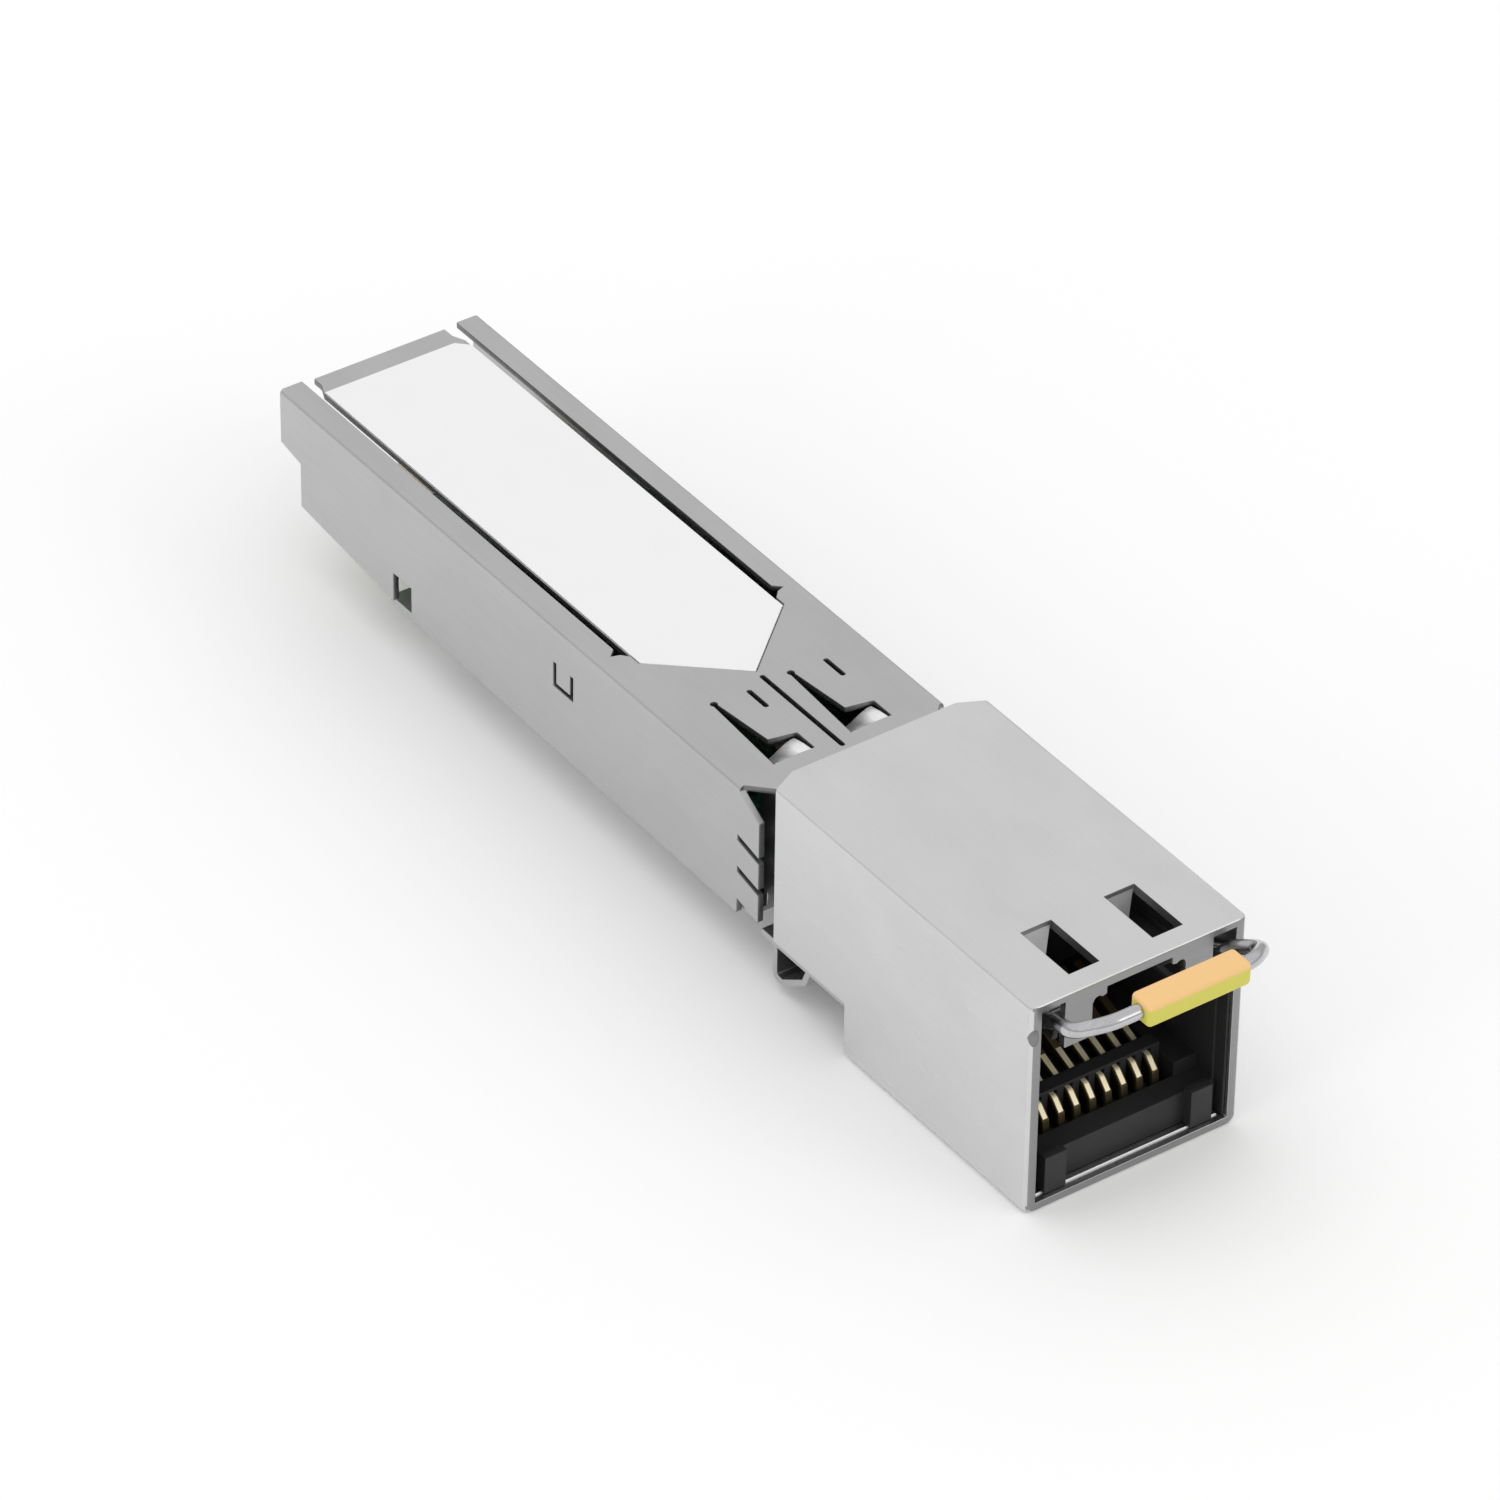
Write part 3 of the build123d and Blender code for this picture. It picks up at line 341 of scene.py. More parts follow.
def paint_tab_light():
    made, tree, shader, place = start_finish("tab_painted_light")
    split = tree.nodes.new("ShaderNodeSeparateXYZ")
    tree.links.new(place, split.inputs["Vector"])
    from_left = math_step(tree, "ADD", split.outputs["X"], -tab_middles[0] - tab_left)
    within_tab = math_step(tree, "MODULO", from_left, tab_middles[1] - tab_middles[0])
    painted_light_ramp = tree.nodes.new("ShaderNodeMapRange")
    painted_light_ramp.inputs["From Min"].default_value = painted_shade_until
    painted_light_ramp.inputs["From Max"].default_value = painted_highlight_from
    tree.links.new(within_tab, painted_light_ramp.inputs["Value"])
    scratches = grain(tree, place, (9000, 1200, 9000))
    painted_light_scratched = math_step(tree, "MULTIPLY", painted_light_ramp.outputs["Result"], spread(tree, scratches, 0.75, 1.0))
    tone = tint(tree, painted_light_scratched, (0.30, 0.30, 0.305), (0.90, 0.90, 0.90))
    tree.links.new(tone, shader.inputs["Base Color"])
    shader.inputs["Metallic"].default_value = 0.45
    tree.links.new(spread(tree, scratches, 0.34, 0.46), shader.inputs["Roughness"])
    relief(tree, shader, scratches, 0.2, 0.004 * MM)
    return made


tab_painted_light = paint_tab_light()
print("tab finish:", tab_painted_light.name)

# %% [markdown]
# # Plastics and label
# The socket is moulded black nylon with a fine spark texture, and the chips are a duller black.
# The moulding's roof, seen through the windows, has a coarser and greyer copy of the nylon, which is painted
# light.
# The capacitors are brown ceramic with tinned ends. The label is blank white film, so its
# texture is very faint. They all come from one helper: a grain for the surface, which moves the
# roughness and the relief, and a slow cloud for the colour.

# %% Plastic finishes
def moulded(name, colour, roughness, texture_size, texture_strength, cloud=0.1):
    made, tree, shader, place = start_finish(name)
    scale = 1 / texture_size
    texture = grain(tree, place, (scale, scale, scale), 2.0)
    clouds = grain(tree, place, (300, 300, 300), 2.0)
    tone = tint(tree, spread(tree, clouds, 0.0, 1.0), shade(colour, 1 - cloud), shade(colour, 1 + cloud))
    tree.links.new(tone, shader.inputs["Base Color"])
    tree.links.new(spread(tree, texture, roughness - 0.06, roughness + 0.08), shader.inputs["Roughness"])
    relief(tree, shader, texture, texture_strength, 0.01 * MM)
    return made


socket_plastic = moulded("socket_plastic", (0.024, 0.024, 0.0245), 0.5, 0.06 * MM, 0.35)
socket_plastic.node_tree.nodes["Principled BSDF"].inputs["Specular IOR Level"].default_value = 0.3
# A greyer copy of the socket nylon, painted light for the roof under the windows.
roof_painted_light = moulded("roof_painted_light", (0.05, 0.05, 0.051), 0.8, 0.06 * MM, 0.35)
chip_plastic = moulded("chip_plastic", (0.02, 0.02, 0.022), 0.55, 0.04 * MM, 0.4)
ceramic = moulded("ceramic", (0.33, 0.23, 0.14), 0.5, 0.05 * MM, 0.2)
label_film = moulded("label_film", (0.865, 0.865, 0.865), 0.6, 0.12 * MM, 0.06, cloud=0.006)
label_film.node_tree.nodes["Principled BSDF"].inputs["Specular IOR Level"].default_value = 0.2
print("plastic finishes:", socket_plastic.name, chip_plastic.name, ceramic.name, label_film.name)

# %% [markdown]
# # Plated metal
# The contacts are stamped from bronze strip that is gold plated only where the plug touches, so
# their cut sides stay bare, and their front feet take the dark bare bronze as painted shade. The
# edge pads are gold too. The wire is bright plated steel, drawn through a die that leaves long
# streaks. The crystal's can and the capacitors' ends are tin. A mirror finish would show only
# what stands around it, so each is slightly rough, and the contacts rougher still, because a
# plug has wiped them.

# %% Plated finishes
def plated(name, colour, roughness, metallic=1.0):
    made, tree, shader, place = start_finish(name)
    clouds = grain(tree, place, (1800, 1800, 1800), 3.0)
    tone = tint(tree, spread(tree, clouds, 0.0, 1.0), shade(colour, 0.92), shade(colour, 1.04))
    tree.links.new(tone, shader.inputs["Base Color"])
    shader.inputs["Metallic"].default_value = metallic
    tree.links.new(spread(tree, clouds, roughness - 0.04, roughness + 0.08), shader.inputs["Roughness"])
    relief(tree, shader, clouds, 0.15, 0.004 * MM)
    return made


gold = plated("gold", (0.90, 0.80, 0.54), 0.42, metallic=0.6)
# Bare bronze for the contacts' cut sides; on their feet below the knee it is painted shade.
bronze_and_painted_shade = plated("bronze_and_painted_shade", (0.10, 0.075, 0.035), 0.5, metallic=0.7)
crystal_metal = plated("crystal_metal", (0.62, 0.60, 0.56), 0.28)
tin = plated("tin", (0.58, 0.58, 0.57), 0.35)
print("plated finishes:", gold.name, bronze_and_painted_shade.name, crystal_metal.name, tin.name)

# %% Wire finish
def drawn_wire():
    made, tree, shader, place = start_finish("wire")
    streaks = grain(tree, place, (120, 3500, 3500), 2.0)
    tone = tint(tree, spread(tree, streaks, 0.0, 1.0), (0.44, 0.44, 0.45), (0.50, 0.50, 0.51))
    tree.links.new(tone, shader.inputs["Base Color"])
    shader.inputs["Metallic"].default_value = 1.0
    tree.links.new(spread(tree, streaks, 0.26, 0.20), shader.inputs["Roughness"])
    relief(tree, shader, streaks, 0.04, 0.004 * MM)
    return made


wire_metal = drawn_wire()
print("wire finish:", wire_metal.name)

# %% [markdown]
# # Circuit board
# The board is green resist over copper. The tracks under the resist stand a hair proud and look
# lighter. They could be modelled, but they are thinner than a hair, so a repeated ramp across
# the board draws them in colour and relief.

# %% Board finish
def circuit_board():
    made, tree, shader, place = start_finish("board")
    split = tree.nodes.new("ShaderNodeSeparateXYZ")
    tree.links.new(scaled(tree, place, (1 / (0.8 * MM), 1 / (1.1 * MM), 1.0)), split.inputs["Vector"])
    across = math_step(tree, "PINGPONG", split.outputs["X"], 0.5)
    track = math_step(tree, "GREATER_THAN", across, 0.33)
    clouds = grain(tree, place, (900, 900, 900), 3.0)
    tone = tint(tree, track, (0.010, 0.085, 0.035), (0.022, 0.135, 0.055))
    tree.links.new(tone, shader.inputs["Base Color"])
    tree.links.new(spread(tree, clouds, 0.22, 0.36), shader.inputs["Roughness"])
    relief(tree, shader, track, 0.4, 0.02 * MM)
    return made


board_finish = circuit_board()
print("board finish:", board_finish.name)

# %% [markdown]
# # Sleeve finish
# The grip on the bail is one yellow plastic, painted pale orange on top as painted light and
# yellow green in front as painted shade. The colour therefore follows the height on the piece
# itself, and turns with it when the bail swings.

# %% Sleeve finish
def sleeve_painted_light():
    made, tree, shader, place = start_finish("sleeve_rubber")
    split = tree.nodes.new("ShaderNodeSeparateXYZ")
    tree.links.new(place, split.inputs["Vector"])
    low_z, high_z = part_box("bail_sleeve")[0].z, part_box("bail_sleeve")[1].z
    # The ramp by height paints light on the top and shade on the front of one yellow plastic.
    lit_top_ramp = tree.nodes.new("ShaderNodeMapRange")
    lit_top_ramp.inputs["From Min"].default_value = low_z + 0.70 * (high_z - low_z)
    lit_top_ramp.inputs["From Max"].default_value = low_z + 0.84 * (high_z - low_z)
    tree.links.new(split.outputs["Z"], lit_top_ramp.inputs["Value"])
    tone = tint(tree, lit_top_ramp.outputs["Result"], (0.66, 0.62, 0.11), (0.90, 0.57, 0.25))
    tree.links.new(tone, shader.inputs["Base Color"])
    texture = grain(tree, place, (5000, 5000, 5000), 2.0)
    tree.links.new(spread(tree, texture, 0.46, 0.6), shader.inputs["Roughness"])
    shader.inputs["Specular IOR Level"].default_value = 0.3
    relief(tree, shader, texture, 0.1, 0.01 * MM)
    return made


sleeve_rubber = sleeve_painted_light()
print("sleeve finish:", sleeve_rubber.name)

# %% [markdown]
# # Finishes onto the frame
# The record already says which finish each piece has. Reading it there, piece by piece, keeps
# the two in step, and is shorter than naming every piece again.

# %% Assign finishes
finishes = {
    "body_metal": body_metal,
    "head_metal": head_metal,
    "label_film": label_film,
    "socket_plastic": socket_plastic,
    "gold": gold,
    "board": board_finish,
    "chip_plastic": chip_plastic,
    "crystal_metal": crystal_metal,
    "ceramic": ceramic,
    "wire": wire_metal,
    "sleeve_rubber": sleeve_rubber,
}
slot_of = {entry["node"]: entry["material_slot"] for entry in frame["record"]["subparts"]}
for node_name, node in frame["nodes"].items():
    node.data.materials.clear()
    node.data.materials.append(finishes[slot_of[node_name]])
body_of = {
    node_name: body_name
    for body_name, names in frame["record"]["behaviour"]["bodies"].items()
    for node_name in names
}
print("finished nodes:", len(slot_of), "on bodies", sorted(set(body_of.values())))

# %% [markdown]
# # Softened folds and edges
# Real sheet has no perfectly sharp corner: a punch leaves a small roll on one side, and a fold
# has a radius. Those thin rounds catch the light and draw the bright lines along the edges.
# Each visible piece gets a copy of its mesh whose loose triangles are merged back into faces,
# and whose sharp edges are then bevelled. Shading tricks could fake it, but real bevels also
# show in the outline.

# %% Helpers for softening
def welded_copy(node_name):
    build = bmesh.new()
    build.from_mesh(frame["nodes"][node_name].data)
    bmesh.ops.remove_doubles(build, verts=build.verts, dist=0.002 * MM)
    bmesh.ops.dissolve_limit(build, angle_limit=math.radians(1.0), verts=build.verts, edges=build.edges)
    return build


def sharp_edges(build, least_angle=35):
    return [
        edge for edge in build.edges
        if len(edge.link_faces) == 2 and edge.calc_face_angle() > math.radians(least_angle)
    ]


def round_over(build, edges, radius, segments):
    bmesh.ops.bevel(
        build, geom=edges, offset=radius, offset_type="OFFSET", affect="EDGES",
        segments=segments, profile=0.5, material=-1, clamp_overlap=False,
    )


def cut_across(build, cut_y):
    whole = build.verts[:] + build.edges[:] + build.faces[:]
    bmesh.ops.bisect_plane(build, geom=whole, plane_co=(0, cut_y, 0), plane_no=(0, 1, 0))


test_build = welded_copy("label")
print("the label has", len(test_build.faces), "faces once its triangles are merged")
test_build.free()

# %% Helper for placing a piece
def place_piece(build, name, body, slot_name, extra_finishes=(), smooth_angle=40):
    mesh = bpy.data.meshes.new(name)
    build.to_mesh(mesh)
    build.free()
    mesh.shade_smooth()
    mesh.set_sharp_from_angle(angle=math.radians(smooth_angle))
    mesh.materials.append(finishes[slot_name])
    for finish in extra_finishes:
        mesh.materials.append(finish)
    piece = bpy.data.objects.new(name, mesh)
    bpy.context.collection.objects.link(piece)
    weighted = piece.modifiers.new("even_faces", "WEIGHTED_NORMAL")
    weighted.keep_sharp = True
    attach(piece, body)
    return piece


# %% [markdown]
# # Cut edges
# A face that only shows the sheet's thickness is a cut edge. It is found by measuring: its own
# span through the sheet is no more than the sheet's thickness, and it faces along the sheet.
# Picking each face by hand would do the same, but a measured rule still works when the slots
# move.

# %% Mark the cut edges
hair = 0.02 * MM


def span(face, axis):
    values = [vertex.co[axis] for vertex in face.verts]
    return max(values) - min(values)


def mark_cut_edges(build, sheet):
    marked = 0
    for face in build.faces:
        through_top = abs(face.normal.z) < 0.05 and span(face, 2) < sheet + hair
        through_side = abs(face.normal.x) < 0.05 and span(face, 0) < sheet + hair
        if through_top or through_side:
            # A cut edge takes the darker finish: bare steel, and painted shade where it lines a groove.
            face.material_index = 1
            marked += 1
    return marked


sheet_of = {"body_shell": 0.4 * MM, "bottom_cover": 0.35 * MM, "release_slide": 0.4 * MM}
print("sheet thickness", {name: round(value / MM, 2) for name, value in sheet_of.items()})

# %% [markdown]
# # Twisted tabs behind the head
# The two tabs in the body's top are twisted as they are bent down, so that only their right
# corner presses on the cage. Their cross edges are cut into short lengths first, and then each
# length sinks by its own amount, deep on the left and hardly at all on the right. A flat tab
# would be simpler, but it doesn't catch the light.

# %% Twist the tabs
tab_front_y, tab_knee_y, tab_rear_y = 3.45 * MM, 4.2 * MM, 5.1 * MM
tab_least_z, tab_root_length = 7.0 * MM, 0.2 * MM
cross_edge_length, cross_edge_shift, cross_cuts = 2.2 * MM, 0.3 * MM, 7
sink_before_knee, rise_before_knee = 0.38 * MM, 0.08 * MM
sink_past_knee, rise_past_knee = 0.35 * MM, 0.58 * MM
body_top_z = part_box("body_shell")[1].z


def on_tab(place, tab_x):
    inside = tab_left - hair < place.x - tab_x < tab_right + hair
    along = tab_front_y + tab_root_length < place.y < tab_rear_y
    return inside and along and tab_least_z < place.z < body_top_z - hair


def twist_tab(build, tab_x):
    cross_edges = []
    for edge in build.edges:
        run = edge.verts[1].co - edge.verts[0].co
        middle = (edge.verts[0].co + edge.verts[1].co) / 2
        along_x = abs(run.x) > cross_edge_length and abs(run.y) < hair and abs(run.z) < hair
        centred = abs(middle.x - tab_x) < cross_edge_shift
        if along_x and centred and tab_front_y - hair < middle.y < tab_rear_y and middle.z > tab_least_z:
            cross_edges.append(edge)
    bmesh.ops.subdivide_edges(build, edges=cross_edges, cuts=cross_cuts, use_grid_fill=True)
    for vertex in build.verts:
        if on_tab(vertex.co, tab_x):
            across = (vertex.co.x - tab_x - tab_left) / (tab_right - tab_left)
            share = across * across * (3 - 2 * across)
            before_knee = vertex.co.y < tab_knee_y
            sink = sink_before_knee if before_knee else sink_past_knee
            rise = rise_before_knee if before_knee else rise_past_knee
            vertex.co.z += rise * share - sink * (1 - share)
    return len(cross_edges)


print("tabs at x", [round(tab_x / MM, 2) for tab_x in tab_middles])

# %% Soften the sheet metal
soft_radius = {"body_shell": 0.06 * MM, "bottom_cover": 0.05 * MM, "release_slide": 0.06 * MM}
for node_name, radius in soft_radius.items():
    build = welded_copy(node_name)
    marked = mark_cut_edges(build, sheet_of[node_name])
    if node_name == "body_shell":
        print("cross edges cut:", [twist_tab(build, tab_x) for tab_x in tab_middles])
        build.normal_update()
        for face in build.faces:
            middle = face.calc_center_median()
            over_tab = any(tab_left < middle.x - tab_x < tab_right for tab_x in tab_middles)
            on_slope = tab_front_y < middle.y < tab_rear_y and middle.z < body_top_z
            # The tabs' slopes take the tab finish, which paints their shade and highlight.
            if over_tab and on_slope and face.normal.z > 0.05:
                face.material_index = 2
    round_over(build, sharp_edges(build), radius, 2)
    softened = place_piece(
        build, node_name + "_soft", body_of[node_name], slot_of[node_name],
        extra_finishes=(cut_edge_and_painted_shade, tab_painted_light),
    )
    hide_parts(node_name)
    print(node_name, "has", marked, "cut edges and", len(softened.data.polygons), "faces after softening")

# %% Soften the mouldings and the label
moulding_radius = {"contact_comb": 0.05 * MM, "label": 0.03 * MM, "main_board": 0.04 * MM}
for node_name, radius in moulding_radius.items():
    build = welded_copy(node_name)
    round_over(build, sharp_edges(build), radius, 2)
    softened = place_piece(build, node_name + "_soft", body_of[node_name], slot_of[node_name])
    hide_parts(node_name)
print("softened", len(moulding_radius), "mouldings and flat parts")

# %% Soften the socket insert
build = welded_copy("jack_insert")
roof_height, insert_edge = 7.0 * MM, 0.025 * MM
# Top faces of the moulding's roof take the greyer copy, painted light.
for face in build.faces:
    if face.normal.z > 0.9 and face.calc_center_median().z > roof_height:
        face.material_index = 1
round_over(build, sharp_edges(build), insert_edge, 2)
insert_soft = place_piece(
    build, "jack_insert_soft", "module", "socket_plastic", extra_finishes=(roof_painted_light,),
)
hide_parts("jack_insert")
print("insert has", len(insert_soft.data.polygons), "faces")

# %% [markdown]
# # The contacts
# Each contact is a bent strip. Its top is plated gold where a plug slides over it, from the knee
# to a quarter of the way up its rise. Below the knee its feet take the dark bronze as painted
# shade. The plating keeps clear of the stamped edges, which are bare like the sides and look
# dark. A cut across the strip ends the plating, an inset narrows it, and marking the faces
# before the edges are softened keeps the line between the two sharp.

# %% Soften and mark the contacts
knee_height, plating_end_y = 0.02 * MM, -17.3 * MM
bare_edge, contact_edge = 0.08 * MM, 0.04 * MM
for index in range(8):
    node_name = f"contact_{index + 1}"
    build = welded_copy(node_name)
    cut_across(build, plating_end_y)
    plated_faces = []
    for face in build.faces:
        middle = face.calc_center_median()
        on_top = abs(face.normal.x) < 0.5 and face.normal.z > 0.05
        if on_top and middle.z > knee_height and middle.y < plating_end_y:
            plated_faces.append(face)
        # Faces that are not plated take the dark bronze: bare sides, and painted shade on the feet below the knee.
        else:
            face.material_index = 1
    for face in bmesh.ops.inset_region(build, faces=plated_faces, thickness=bare_edge)["faces"]:
        face.material_index = 1
    bare_and_shaded_faces = sum(face.material_index for face in build.faces)
    round_over(build, sharp_edges(build), contact_edge, 2)
    softened = place_piece(build, node_name + "_soft", "module", "gold", extra_finishes=(bronze_and_painted_shade,))
    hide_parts(node_name)
print("each contact has", bare_and_shaded_faces, "bare faces")

# %% [markdown]
# # The head
# The head is drawn and folded from thicker sheet. Its two long bottom edges are folds with a
# large radius, and its front is drawn in all round, so the outer front edge is rounder still.
# The bottom folds are bevelled. The front's corners already have a small radius of their own,
# which a wider bevel would cross, so the outer walls are sliced near the front instead, and each
# slice is scaled inwards until the slices follow a quarter circle.

# %% Pick the head's faces
head_low, head_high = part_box("jack_shell")
head_middle = (head_low + head_high) / 2
side_wall_x, top_reach, bottom_reach = 6.3 * MM, 0.3 * MM, 0.56 * MM
spring_half_x, spring_low_z, spring_high_z = 3.8 * MM, 8.0 * MM, 10.3 * MM
window_rear_y, spring_reach = -17.85 * MM, 0.5 * MM
head_sheet, head_edge, bottom_fold = 0.6 * MM, 0.04 * MM, 0.55 * MM


def near(value, target, reach=hair):
    return abs(value - target) < reach


def in_outer_sheet(place):
    return (
        abs(place.x) > side_wall_x
        or place.z > head_high.z - top_reach
        or place.z < head_low.z + bottom_reach
    )


def on_outer_wall(face):
    faces_out = face.normal.dot(face.calc_center_median() - head_middle) > 0
    return faces_out and abs(face.normal.y) < 0.5 and all(in_outer_sheet(vertex.co) for vertex in face.verts)


def on_bottom_fold(edge):
    first, last = (vertex.co for vertex in edge.verts)
    return near(first.x, last.x) and all(
        near(place.z, head_low.z) and near(abs(place.x), head_high.x) for place in (first, last)
    )


build = welded_copy("jack_shell")
for face in build.faces:
    middle = face.calc_center_median()
    at_window = abs(middle.x) < spring_half_x and near(middle.y, window_rear_y, spring_reach)
    # Faces looking forward at the front take the rim finish, painted shade.
    if face.normal.y < -0.95 and near(middle.y, head_low.y):
        face.material_index = 1
    elif at_window and spring_low_z < middle.z < spring_high_z:
        face.material_index = 3
    # Upright faces through the top sheet, the window and groove walls, take the darker cut-edge finish: bare steel
    # and painted shade.
    elif abs(face.normal.z) < 0.05 and span(face, 2) < head_sheet + hair:
        face.material_index = 2
for index, kind in ((1, "rim"), (2, "cut"), (3, "spring")):
    print(kind, "faces:", sum(face.material_index == index for face in build.faces))

# %% Round the bottom folds
round_over(build, [edge for edge in sharp_edges(build) if on_bottom_fold(edge)], bottom_fold, 5)
print("head has", len(build.faces), "faces with its bottom folds rounded")

# %% Draw the front in
rim_depth, rim_side, rim_top, rim_steps = 0.35 * MM, 0.42 * MM, 0.20 * MM, 6
for step in range(1, rim_steps):
    turned = math.radians(90.0 * step / rim_steps)
    outer_faces = [face for face in build.faces if on_outer_wall(face)]
    outer_edges = {edge for face in outer_faces for edge in face.edges}
    outer_verts = {vertex for face in outer_faces for vertex in face.verts}
    bmesh.ops.bisect_plane(
        build, geom=list(outer_verts) + list(outer_edges) + outer_faces,
        plane_co=(0, head_low.y + rim_depth * (1 - math.sin(turned)), 0), plane_no=(0, 1, 0),
    )
wall_verts = {vertex for face in build.faces if on_outer_wall(face) for vertex in face.verts}
slices = []
for step in range(1, rim_steps + 1):
    turned = math.radians(90.0 * step / rim_steps)
    slice_y = head_low.y + rim_depth * (1 - math.sin(turned))
    drawn = 1 - math.cos(turned)
    slices.append((drawn, [vertex for vertex in wall_verts if near(vertex.co.y, slice_y, 0.004 * MM)]))
head_half = (head_high - head_low) / 2
for drawn, slice_verts in slices:
    shrink = Vector((1 - drawn * rim_side / head_half.x, 1, 1 - drawn * rim_top / head_half.z))
    bmesh.ops.scale(build, verts=slice_verts, vec=shrink, space=Matrix.Translation(-head_middle))
print("slices:", [(len(slice_verts), round(drawn, 2)) for drawn, slice_verts in slices])

# %% Finish the head
# The drawn-in rim's forward faces take the rim finish too, painted shade.
for face in build.faces:
    if face.calc_center_median().y < head_low.y + rim_depth and face.normal.y < -0.85:
        face.material_index = 1
round_over(build, sharp_edges(build), head_edge, 2)
head_soft = place_piece(
    build, "jack_shell_soft", "module", "head_metal",
    extra_finishes=(rim_painted_shade, cut_edge_and_painted_shade, spring_metal),
)
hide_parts("jack_shell")
print("head has", len(head_soft.data.polygons), "faces")

# %% [markdown]
# # The hem on the socket's floor
# Just behind the front rim the floor's sheet is turned over in a low rounded hem, which shows
# as one bright line under the plug. A block with its upper edges rounded is enough for it.

# %% Make the hem
hem_low = Vector((-5.9, -22.80, -2.42)) * MM
hem_high = Vector((5.9, -22.60, -2.27)) * MM
hem_round = 0.09 * MM
build = bmesh.new()
block = bmesh.ops.create_cube(build, size=1.0)["verts"]
bmesh.ops.scale(build, verts=block, vec=hem_high - hem_low)
bmesh.ops.translate(build, verts=block, vec=(hem_low + hem_high) / 2)
hem_edges = [edge for edge in build.edges if all(near(vertex.co.z, hem_high.z) for vertex in edge.verts)]
round_over(build, hem_edges, hem_round, 4)
place_piece(build, "floor_hem", "module", "head_metal")
print("hem is", round((hem_high.x - hem_low.x) / MM, 1), "mm long")

# %% [markdown]
# # Lips of the socket liner
# The moulding's side walls end in a thin lip that covers the shell's inner wall nearly to the
# rim, so no bright metal shows beside the plug. Each lip is a thin strip with softened edges.

# %% Make the lips
lip_low = Vector((6.08, -23.02, -2.36)) * MM
lip_high = Vector((6.24, -22.24, 6.6)) * MM
lip_round = 0.05 * MM
for side in (-1, 1):
    build = bmesh.new()
    strip = bmesh.ops.create_cube(build, size=1.0)["verts"]
    bmesh.ops.scale(build, verts=strip, vec=lip_high - lip_low)
    middle = (lip_low + lip_high) / 2
    bmesh.ops.translate(build, verts=strip, vec=(side * middle.x, middle.y, middle.z))
    round_over(build, build.edges[:], lip_round, 2)
    place_piece(build, "liner_lip_left" if side < 0 else "liner_lip_right", "module", "socket_plastic")
print("lips reach to", round((lip_low.y - head_low.y) / MM, 2), "mm behind the rim")

# %% [markdown]
# # Dark ovals by the bail's hinge
# A small dark oval sits on each front corner, where the bail's ends sit behind the side walls.
# A flattened ball in the dark cut-edge finish, sunk until only its crown shows, gives the oval
# and its soft edge.

# %% Make the dark ovals
dark_oval_half_size = Vector((0.30, 0.42, 0.70)) * MM
dark_oval_x, dark_oval_y, dark_oval_z = 6.64 * MM, -22.98 * MM, 8.68 * MM
for side in (-1, 1):
    build = bmesh.new()
    ball = bmesh.ops.create_uvsphere(build, u_segments=24, v_segments=16, radius=1.0)["verts"]
    bmesh.ops.scale(build, verts=ball, vec=dark_oval_half_size)
    bmesh.ops.translate(build, verts=ball, vec=(side * dark_oval_x, dark_oval_y, dark_oval_z))
    mark_name = "dark_oval_left" if side < 0 else "dark_oval_right"
    mark = place_piece(build, mark_name, "module", "head_metal")
    mark.data.materials[0] = cut_edge_and_painted_shade
print("pinch marks on both corners")

# %% [markdown]
# # Small parts on the board
# The capacitors are ceramic blocks with tinned ends. Two cuts across each block part the ends
# from the middle, and the end faces get the tin. The chips and the crystal's can keep their
# blocks, with softened edges.

# %% Capacitors with tinned ends
tin_share, capacitor_edge = 0.22, 0.04 * MM


def tinned_ends(node_name, share):
    low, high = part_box(node_name)
    build = welded_copy(node_name)
    end = (high.y - low.y) * share
    for cut_y in (low.y + end, high.y - end):
        cut_across(build, cut_y)
    for face in build.faces:
        middle = face.calc_center_median().y
        if middle < low.y + end - hair / 2 or middle > high.y - end + hair / 2:
            face.material_index = 1
    round_over(build, sharp_edges(build), capacitor_edge, 2)
    piece = place_piece(build, node_name + "_soft", "module", "ceramic", extra_finishes=(tin,))
    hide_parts(node_name)


capacitors = [name for name in frame["nodes"] if "capacitor" in name]
for node_name in capacitors:
    tinned_ends(node_name, tin_share)
print("tinned capacitors:", len(capacitors))

# %% Chips and crystal
chip_radius = {
    "phy_chip": 0.05 * MM,
    "magnetics": 0.05 * MM,
    "memory_chip": 0.05 * MM,
    "regulator": 0.04 * MM,
    "crystal": 0.05 * MM,
}
for node_name, radius in chip_radius.items():
    build = welded_copy(node_name)
    round_over(build, sharp_edges(build, 20), radius, 2)
    softened = place_piece(build, node_name + "_soft", "module", slot_of[node_name])
    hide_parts(node_name)
print("softened chips:", len(chip_radius))

# %% [markdown]
# # The bail, bent as a wire former bends it
# The bail is one steel wire. A wire former feeds a straight length, bends it round a pin, and
# feeds again. The same two moves make the mesh: the ring at the wire's end is extruded along a
# straight run, and spun about the pin's centre for a bend. A curve with a bevel would also give
# a tube, but spinning gives each bend its true radius.

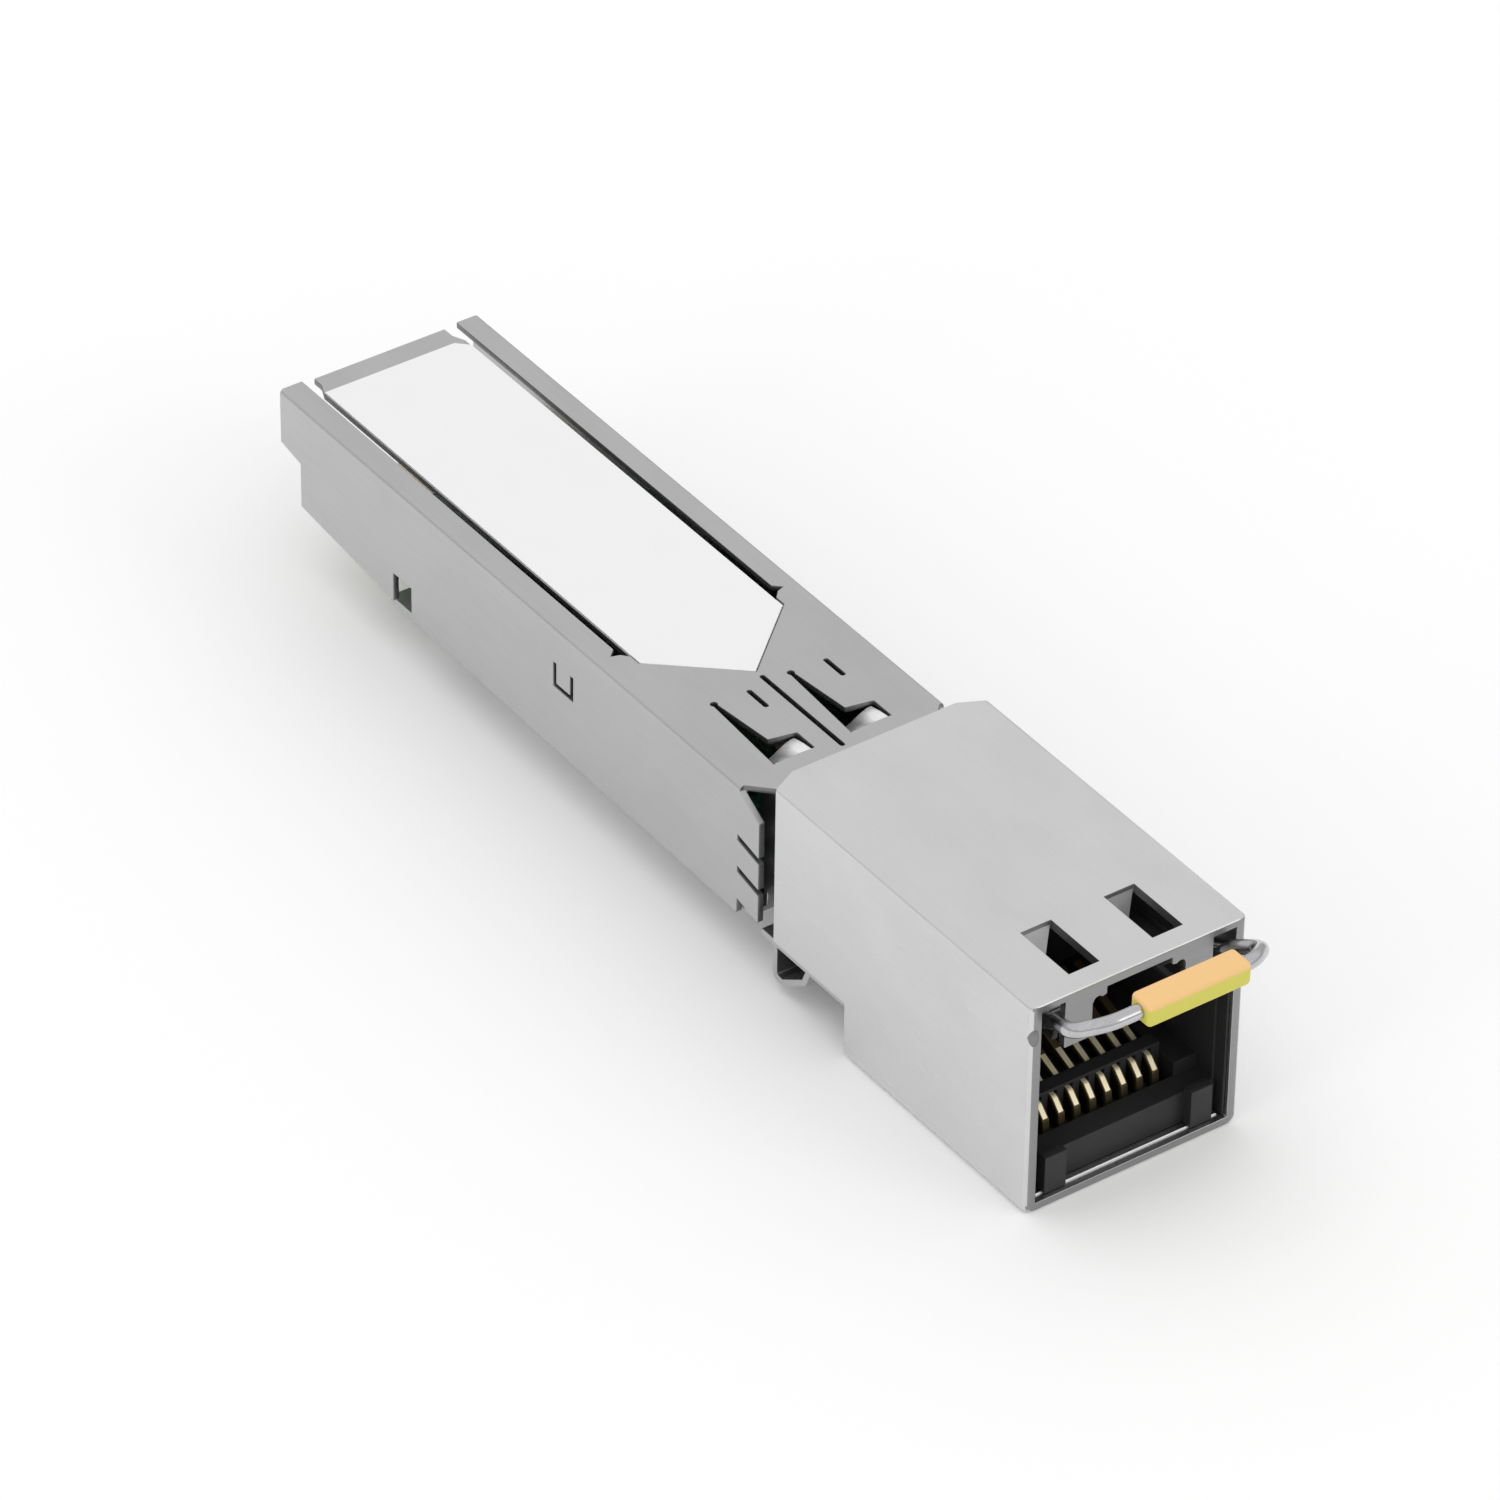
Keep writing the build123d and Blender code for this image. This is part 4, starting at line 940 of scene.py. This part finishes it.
# %% The wire's corners
wire_radius = 0.425 * MM
bail_joint = next(joint for joint in frame["joints"] if joint["name"] == "bail_hinge")
pivot = Vector(bail_joint["pos_m"])
bail_rise = math.radians(27.0)
reach_direction = Vector((0, -math.cos(bail_rise), math.sin(bail_rise)))
stub_x, arm_x, corner_x, bar_x = 3.95 * MM, 5.45 * MM, 6.15 * MM, 4.6 * MM
splay_start, corner_reach, bar_reach = 1.9 * MM, 4.32 * MM, 5.6 * MM
bend_radii = (0.6 * MM, 1.5 * MM, 1.1 * MM, 2.0 * MM)


def on_bail(x, reach):
    return Vector((x, pivot.y, pivot.z)) + reach_direction * reach


right_side = [
    on_bail(stub_x, 0), on_bail(arm_x, 0), on_bail(arm_x, splay_start),
    on_bail(corner_x, corner_reach), on_bail(bar_x, bar_reach),
]
left_side = [Vector((-point.x, point.y, point.z)) for point in reversed(right_side)]
corners = right_side + left_side
radii = bend_radii + bend_radii[::-1]
print("the wire turns at", len(radii), "corners")

# %% Feed and bend
degrees_a_step = 7


def feed(build, ring, move):
    made = bmesh.ops.extrude_edge_only(build, edges=ring)["geom"]
    verts = [item for item in made if isinstance(item, bmesh.types.BMVert)]
    edges = [item for item in made if isinstance(item, bmesh.types.BMEdge)]
    bmesh.ops.translate(build, verts=verts, vec=move)
    return [edge for edge in edges if all(vertex in verts for vertex in edge.verts)]


def bend(build, ring, centre, axis, angle):
    steps = max(3, round(math.degrees(angle) / degrees_a_step))
    verts = list({vertex for edge in ring for vertex in edge.verts})
    made = bmesh.ops.spin(
        build, geom=verts + ring, cent=centre, axis=axis, angle=angle, steps=steps, use_duplicate=False,
    )
    return [item for item in made["geom_last"] if isinstance(item, bmesh.types.BMEdge)]


print("a right angle takes", round(90 / degrees_a_step), "steps")

# %% Bend the wire
build = bmesh.new()
first_run = (corners[1] - corners[0]).normalized()
circle = bmesh.ops.create_circle(build, cap_ends=False, segments=32, radius=wire_radius)
bmesh.ops.transform(
    build, verts=circle["verts"],
    matrix=Matrix.Translation(corners[0]) @ first_run.to_track_quat("Z", "Y").to_matrix().to_4x4(),
)
ring = list({edge for vertex in circle["verts"] for edge in vertex.link_edges})
bmesh.ops.contextual_create(build, geom=ring)
spent = 0.0
for index, radius in enumerate(radii):
    before, corner, after = corners[index], corners[index + 1], corners[index + 2]
    arriving, leaving = (corner - before).normalized(), (after - corner).normalized()
    angle = arriving.angle(leaving)
    tangent = radius * math.tan(angle / 2)
    ring = feed(build, ring, arriving * ((corner - before).length - spent - tangent))
    axis = arriving.cross(leaving).normalized()
    start = corner - arriving * tangent
    ring = bend(build, ring, start + axis.cross(arriving) * radius, axis, angle)
    spent = tangent
last_run = corners[-1] - corners[-2]
ring = feed(build, ring, last_run.normalized() * (last_run.length - spent))
bmesh.ops.contextual_create(build, geom=ring)
bmesh.ops.recalc_face_normals(build, faces=build.faces)
print("wire has", len(radii), "bends and", len(build.faces), "faces")

# %% Press the wire's ends flat
tail_reach, tail_half, tail_width, tail_round = 0.8 * MM, 0.35 * MM, 0.6 * MM, 0.12 * MM
tail_lean = math.radians(-38.0)
tail_turn = Matrix.Rotation(tail_lean, 4, "X")
for side in (-1, 1):
    tail = bmesh.ops.create_cube(build, size=1.0)["verts"]
    length = tail_reach + tail_half
    bmesh.ops.scale(build, verts=tail, vec=(tail_width, 2 * tail_half, length))
    bmesh.ops.translate(build, verts=tail, vec=(0, 0, tail_half - length / 2))
    tail_place = Matrix.Translation((side * stub_x, pivot.y, pivot.z)) @ tail_turn
    bmesh.ops.transform(build, verts=tail, matrix=tail_place)
    tail_edges = list({edge for vertex in tail for edge in vertex.link_edges})
    round_over(build, tail_edges, tail_round, 3)
bail_round = place_piece(build, "bail_wire_bent", "bail", "wire")
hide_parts("bail_wire")
print("bail wire has", len(bail_round.data.polygons), "faces")

# %% [markdown]
# # The sleeve on the bail
# The sleeve is a soft moulded grip, a rounded square in section, shrunk tight onto the wire. It
# starts as a block. Its long edges are rounded first, and then the rims of its two ends, because
# the soft ends are tumbled smooth.

# %% Make the sleeve
sleeve_low, sleeve_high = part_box("bail_sleeve")
sleeve_size = sleeve_high - sleeve_low
long_round, end_round = 0.28 * MM, 0.26 * MM
build = bmesh.new()
block = bmesh.ops.create_cube(build, size=1.0)["verts"]
bmesh.ops.scale(build, verts=block, vec=sleeve_size)
bmesh.ops.translate(build, verts=block, vec=(sleeve_low + sleeve_high) / 2)
long_edges = [
    edge for edge in build.edges
    if abs(edge.verts[0].co.x - edge.verts[1].co.x) > sleeve_size.x / 2
]
round_over(build, long_edges, long_round, 4)
end_rims = list({edge for face in build.faces if abs(face.normal.x) > 0.9 for edge in face.edges})
round_over(build, end_rims, end_round, 5)
sleeve = place_piece(build, "bail_sleeve_grip", "bail", "sleeve_rubber")
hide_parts("bail_sleeve")
print("sleeve is", [round(value / MM, 2) for value in sleeve_size], "mm")

# %% [markdown]
# # Size of the frame
# The frame's own box is written down, in millimetres.

# %% Write the frame's box
print("box of the frame", [round(value / MM, 2) for value in cad_high - cad_low], "mm")
